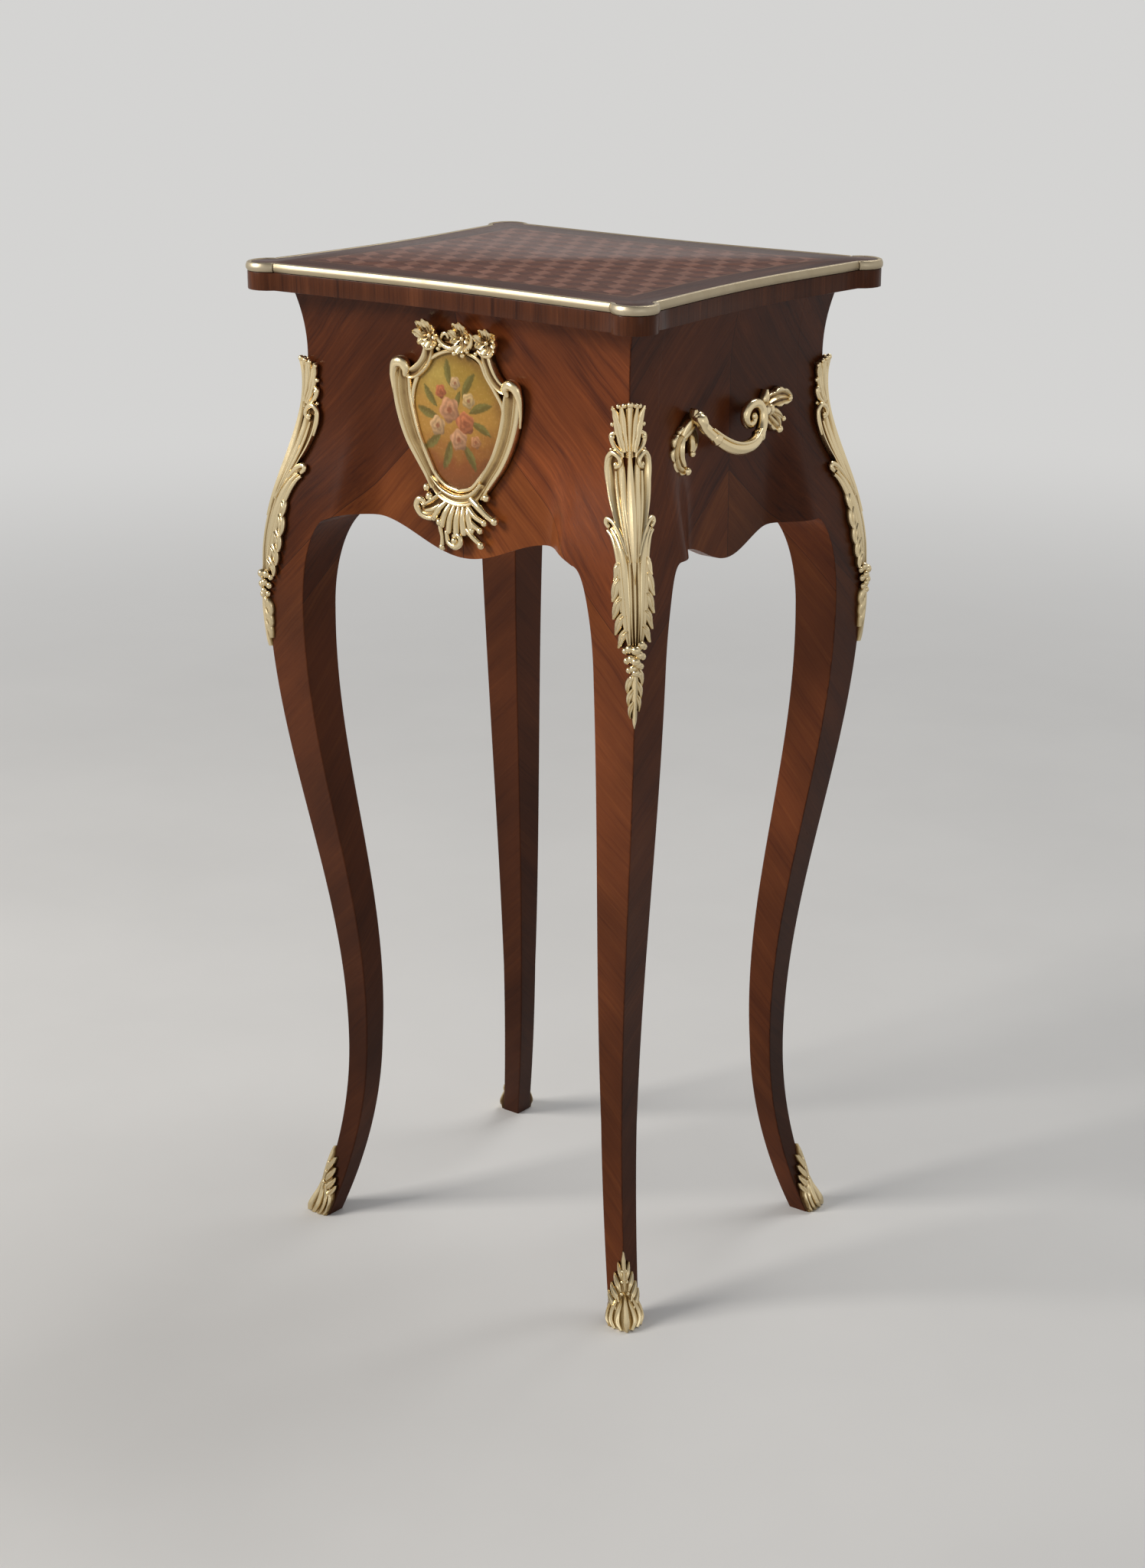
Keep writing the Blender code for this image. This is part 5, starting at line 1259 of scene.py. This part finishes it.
def makePlaque():
    bm = bmesh.new()
    rings, count = plaque["rings"], plaque["spokes"]
    spots, rows = [], []
    for i in range(rings + 1):
        share = i / rings
        row = []
        for k in range(count if i else 1):
            angle = 2 * math.pi * k / count
            radius = share * (plaqueRadius(angle) + plaque["overlap"])
            u, v = radius * math.cos(angle), radius * math.sin(angle)
            row.append(bm.verts.new(onFront(u * mm, v * mm, plaque["seat"] + plaque["dome"] * (1 - share ** 2))))
            spots.append((u, v))
        rows.append(row)
    for k in range(count):
        bm.faces.new((rows[0][0], rows[1][k], rows[1][(k + 1) % count]))
    for near, far in zip(rows[1:], rows[2:]):
        for k in range(count):
            bm.faces.new((near[k], far[k], far[(k + 1) % count], near[(k + 1) % count]))
    piece = pieceFrom(bm, "plaque")
    mesh = piece.data
    layer = mesh.attributes.new("paint", "FLOAT_COLOR", "POINT")
    layer.data.foreach_set("color", paintColours(np.array(spots)).astype(np.float32).ravel())
    if mesh.polygons[0].normal.y > 0:
        mesh.flip_normals()
    applyModifier(piece, "SOLIDIFY", thickness=plaque["thickness"], offset=-1.0)
    settle(piece, "case", "plaque_enamel", [plaqueEnamel], ["plaque"], 40)


makePlaque()
print("plaque done")


# side handles: a swung grip that ends in a spiral, between two leaves
handle = {"face": 0.1443, "level": 0.6550}


def unwrapSide(points):
    return points[:, 1], points[:, 2], np.abs(points[:, 0]) - handle["face"]


def makeHandle(side):
    sign = 1 if side == "right" else -1

    def place(a, up, out):
        return Vector((sign * (handle["face"] + out), sign * a, handle["level"] + up))

    bm, leaf, tube, beads = tools(place)
    # grip from the left foot, swelling in the middle, into the spiral
    tube([(-49, 0.5, 1, 4.6), (-50, 2, 6, 4.6), (-51.4, 2.4, 10, 4.6), (-48.8, -3, 12.4, 4.2), (-43.5, -8.4, 14.4, 4),
          (-34.7, -15.4, 16.8, 4.1), (-25, -20.2, 17.8, 4.5), (-16.5, -22.4, 18, 4.8), (-7, -23.4, 17.6, 4.9),
          (1.4, -22.8, 17, 4.7), (9, -20.2, 16.2, 4.3), (15.6, -15.2, 15, 4), (19.4, -8.6, 13.8, 3.9),
          (19.6, -1.8, 12.8, 3.8), (15.4, 3, 12, 3.7), (9.6, 3.4, 11.4, 3.6), (4.4, 0.4, 11, 3.5),
          (2.4, -5, 10.8, 3.4), (5.6, -10, 10.8, 3.2), (10.8, -9.8, 11.2, 2.9), (12.8, -6, 11.6, 2.4)], rows=110,
          sides=16)
    # chased collars and lines on the grip
    for a, up, out, wayA, wayUp in ((-38.5, -12.6, 15.8, 1.2, -0.9), (12, -18.4, 15.7, 1.2, 1)):
        tube([(a - wayA, up - wayUp, out, 4.6), (a, up, out, 5.1), (a + wayA, up + wayUp, out, 4.6)], rows=6,
             sides=16)
    tube([(-44, -5, 18, 0.8), (-34, -11.8, 20.2, 1), (-22, -17.2, 21.6, 1.1), (-8, -19.4, 21.6, 1.1),
          (4, -17.8, 20.6, 1), (12, -13.4, 18.8, 0.8)], rows=24)
    # stem that carries the spiral
    tube([(39, -5, 0.6, 5.2), (36, -4.6, 5, 4.6), (29, -4.4, 9.6, 4), (20, -4.8, 12.6, 3.2)], rows=14)
    # left leaf, curling down
    curl = evenSection([(0.15, 2), (0.45, 1), (0.8, 1.8), (1, 0.4)], 15)
    leaf([(-47, -3, 2.4, 3.6), (-54, -6, 2.6, 5), (-61, -9, 2.6, 6), (-66, -15, 2.6, 6.4), (-66.8, -22.4, 2.6, 6.2),
          (-63, -29.8, 2.4, 5.2), (-55.6, -33.6, 2, 2.8)], curl, rows=60, teeth=6, bite=0.36, lean=1.5, vein=1)
    leaf([(-50, -4, 3, 3), (-49, -11, 4.6, 4.2), (-49, -17, 4.6, 3.8), (-50.4, -22.6, 3.4, 1.8)], domed, rows=16)
    leaf([(-49.6, 3, 7, 3), (-52.6, -1, 6.4, 4.4), (-56.4, -5.4, 5, 4.6), (-60.6, -9.6, 3.8, 3)], domed, rows=16)
    leaf([(-60, -10, 4, 1.6), (-62.6, -16, 5, 2.4), (-62, -23, 4.8, 2.2), (-58, -29.6, 3.8, 1)], ridge, rows=16)
    leaf([(-50, 0, 8, 2.6), (-52.6, 4.6, 9, 3.4), (-54.4, 9, 9, 1)], domed, rows=12, thick=4)
    # right leaves, spreading to the back
    bold = evenSection([(0, 3), (0.12, 2), (0.3, 0.9), (0.6, 1.5), (0.86, 1.8), (1, 0.4)], 21)
    leaf([(34, -4, 2.4, 3.6), (42, -0.6, 3, 5.8), (51, 0.8, 3.4, 7.4), (60, 0.4, 3, 6.2), (68.6, -1.6, 2.4, 2)], bold,
         rows=40, teeth=3, bite=0.16, lean=4, vein=0.8)
    leaf([(37, -7, 3, 3.4), (43, -12, 4.4, 5), (48.6, -16.6, 5, 5.6), (53.4, -21, 4, 2.8)], bold, rows=24, teeth=2,
         bite=0.16, vein=0.6)
    leaf([(41, -7, 3, 2.8), (49, -9.6, 4.2, 4), (56, -12.6, 3.6, 2.6), (60, -15, 3, 1)], domed, rows=16)
    leaf([(35, -3, 3, 2.8), (37.6, 3, 4.2, 3.4), (38.6, 8.6, 3.4, 1)], domed, rows=12)
    beads(((11.6, -5, 11.6, 2.8), (-51.4, 3.4, 9.4, 4.8), (-55.2, -33.8, 3.6, 3.2), (-50.4, -22.4, 4.2, 2.6),
           (53.6, -21.4, 4.6, 3.2), (60.2, -15.2, 3.6, 2.2), (68.4, -1.8, 3.2, 2.4), (38, -5, 6, 4.8)))
    # studs through the panel
    for a, up in ((-49, 0), (39, -5)):
        tube([(a, up, -15.2, 2), (a, up, 2, 2)], rows=4)
    finishCasting(bm, "handle" + side.title(), ["handle_" + side], unwrapSide)


for side in ("right", "left"):
    makeHandle(side)
print("handles done")


# floor, light and camera

studio = {"floor": (0.74, 0.73, 0.71, 1), "world": (0.95, 0.97, 1.0, 1), "worldStrength": 0.25,
          "backdrop": (0.66, 0.655, 0.645, 1), "ceiling": (0.16, 0.16, 0.16, 1), "radius": 14.0, "fade": (0.9, 3.2),
          "ceilingRise": (0.45, 0.85), "mottle": (0.2, 0.8, 0.97, 1.03), "mottleScale": 3.0, "lampShape": 0.8}
bpy.ops.mesh.primitive_circle_add(vertices=96, radius=studio["radius"], fill_type="NGON", location=(0, 0, 0))
floor = bpy.context.object
floor.name = "studioFloor"
floorMaterial, floorTree, floorShader = newMaterial("paleFloor", Roughness=0.9)
floorPoint = objectPoint(floorTree)
floorTone = ramp(floorTree, noiseOf(floorTree, floorPoint, studio["mottleScale"], 4.0), *studio["mottle"])
feed(floorTree, floorShader.inputs["Base Color"], shaded(floorTree, studio["floor"], floorTone))
floor.data.materials.append(floorMaterial)

# the far floor fades into the backdrop's colour for the camera and in reflections
fade = ramp(floorTree, vectorCalc(floorTree, "LENGTH", floorPoint, output=1), *studio["fade"])
plain = makeNode(floorTree, "Emission", studio["backdrop"])
fade = mul(floorTree, fade, seenDirectly(floorTree))
blend = makeNode(floorTree, "MixShader", fade, floorShader.outputs[0], plain.outputs[0])
floorTree.links.new(blend.outputs[0], floorTree.nodes["Material Output"].inputs["Surface"])

world = bpy.context.scene.world or bpy.data.worlds.new("studio")
bpy.context.scene.world = world
world.use_nodes = True
sky = world.node_tree
background = sky.nodes["Background"]
background.inputs["Color"].default_value = studio["world"]
background.inputs["Strength"].default_value = studio["worldStrength"]
# a pale wall all round, under a darker ceiling
_, _, upward = partsOf(sky, makeNode(sky, "TexCoord").outputs["Generated"])
overhead = ramp(sky, upward, *studio["ceilingRise"])
wall = makeNode(sky, "Background", mixColour(sky, overhead, studio["backdrop"], studio["ceiling"]))
skyBlend = makeNode(sky, "MixShader", seenDirectly(sky), background.outputs[0], wall.outputs[0])
sky.links.new(skyBlend.outputs[0], sky.nodes["World Output"].inputs["Surface"])

# place, aim, size, power and colour
lamps = {
    "key": ((-1.7, -2.4, 2.2), (0.0, 0.0, 0.45), 1.3, 80.0, (1.0, 0.965, 0.92)),
    "fill": ((2.8, -1.4, 1.2), (0.0, 0.0, 0.45), 1.2, 3.0, (0.94, 0.97, 1.0)),
    "top": ((0.3, 1.2, 2.6), (0.0, 0.0, 0.60), 1.2, 20.0, (1.0, 1.0, 1.0)),
}
for name, (spot, aim, size, power, colour) in lamps.items():
    lamp = bpy.data.lights.new(name, "AREA")
    lamp.shape, lamp.size, lamp.size_y = "RECTANGLE", size, size * studio["lampShape"]
    lamp.energy, lamp.color = power, colour
    holder = linked(name, lamp)
    holder.location = spot
    holder.rotation_euler = (Vector(aim) - Vector(spot)).to_track_quat("-Z", "Y").to_euler()

photo = {"lens": 63.51, "sensor": 36.0, "spot": (1.2209, -1.5535, 1.0118), "down": 18.424, "turn": 38.017,
         "clip": (0.05, 60.0)}
view = bpy.data.cameras.new("photoView")
view.lens, view.sensor_width = photo["lens"], photo["sensor"]
view.clip_start, view.clip_end = photo["clip"]
camera = linked("photoView", view)
camera.location = photo["spot"]
camera.rotation_euler = (math.radians(90 - photo["down"]), 0.0, math.radians(photo["turn"]))
bpy.context.scene.camera = camera
bpy.context.scene.view_settings.view_transform = "Standard"
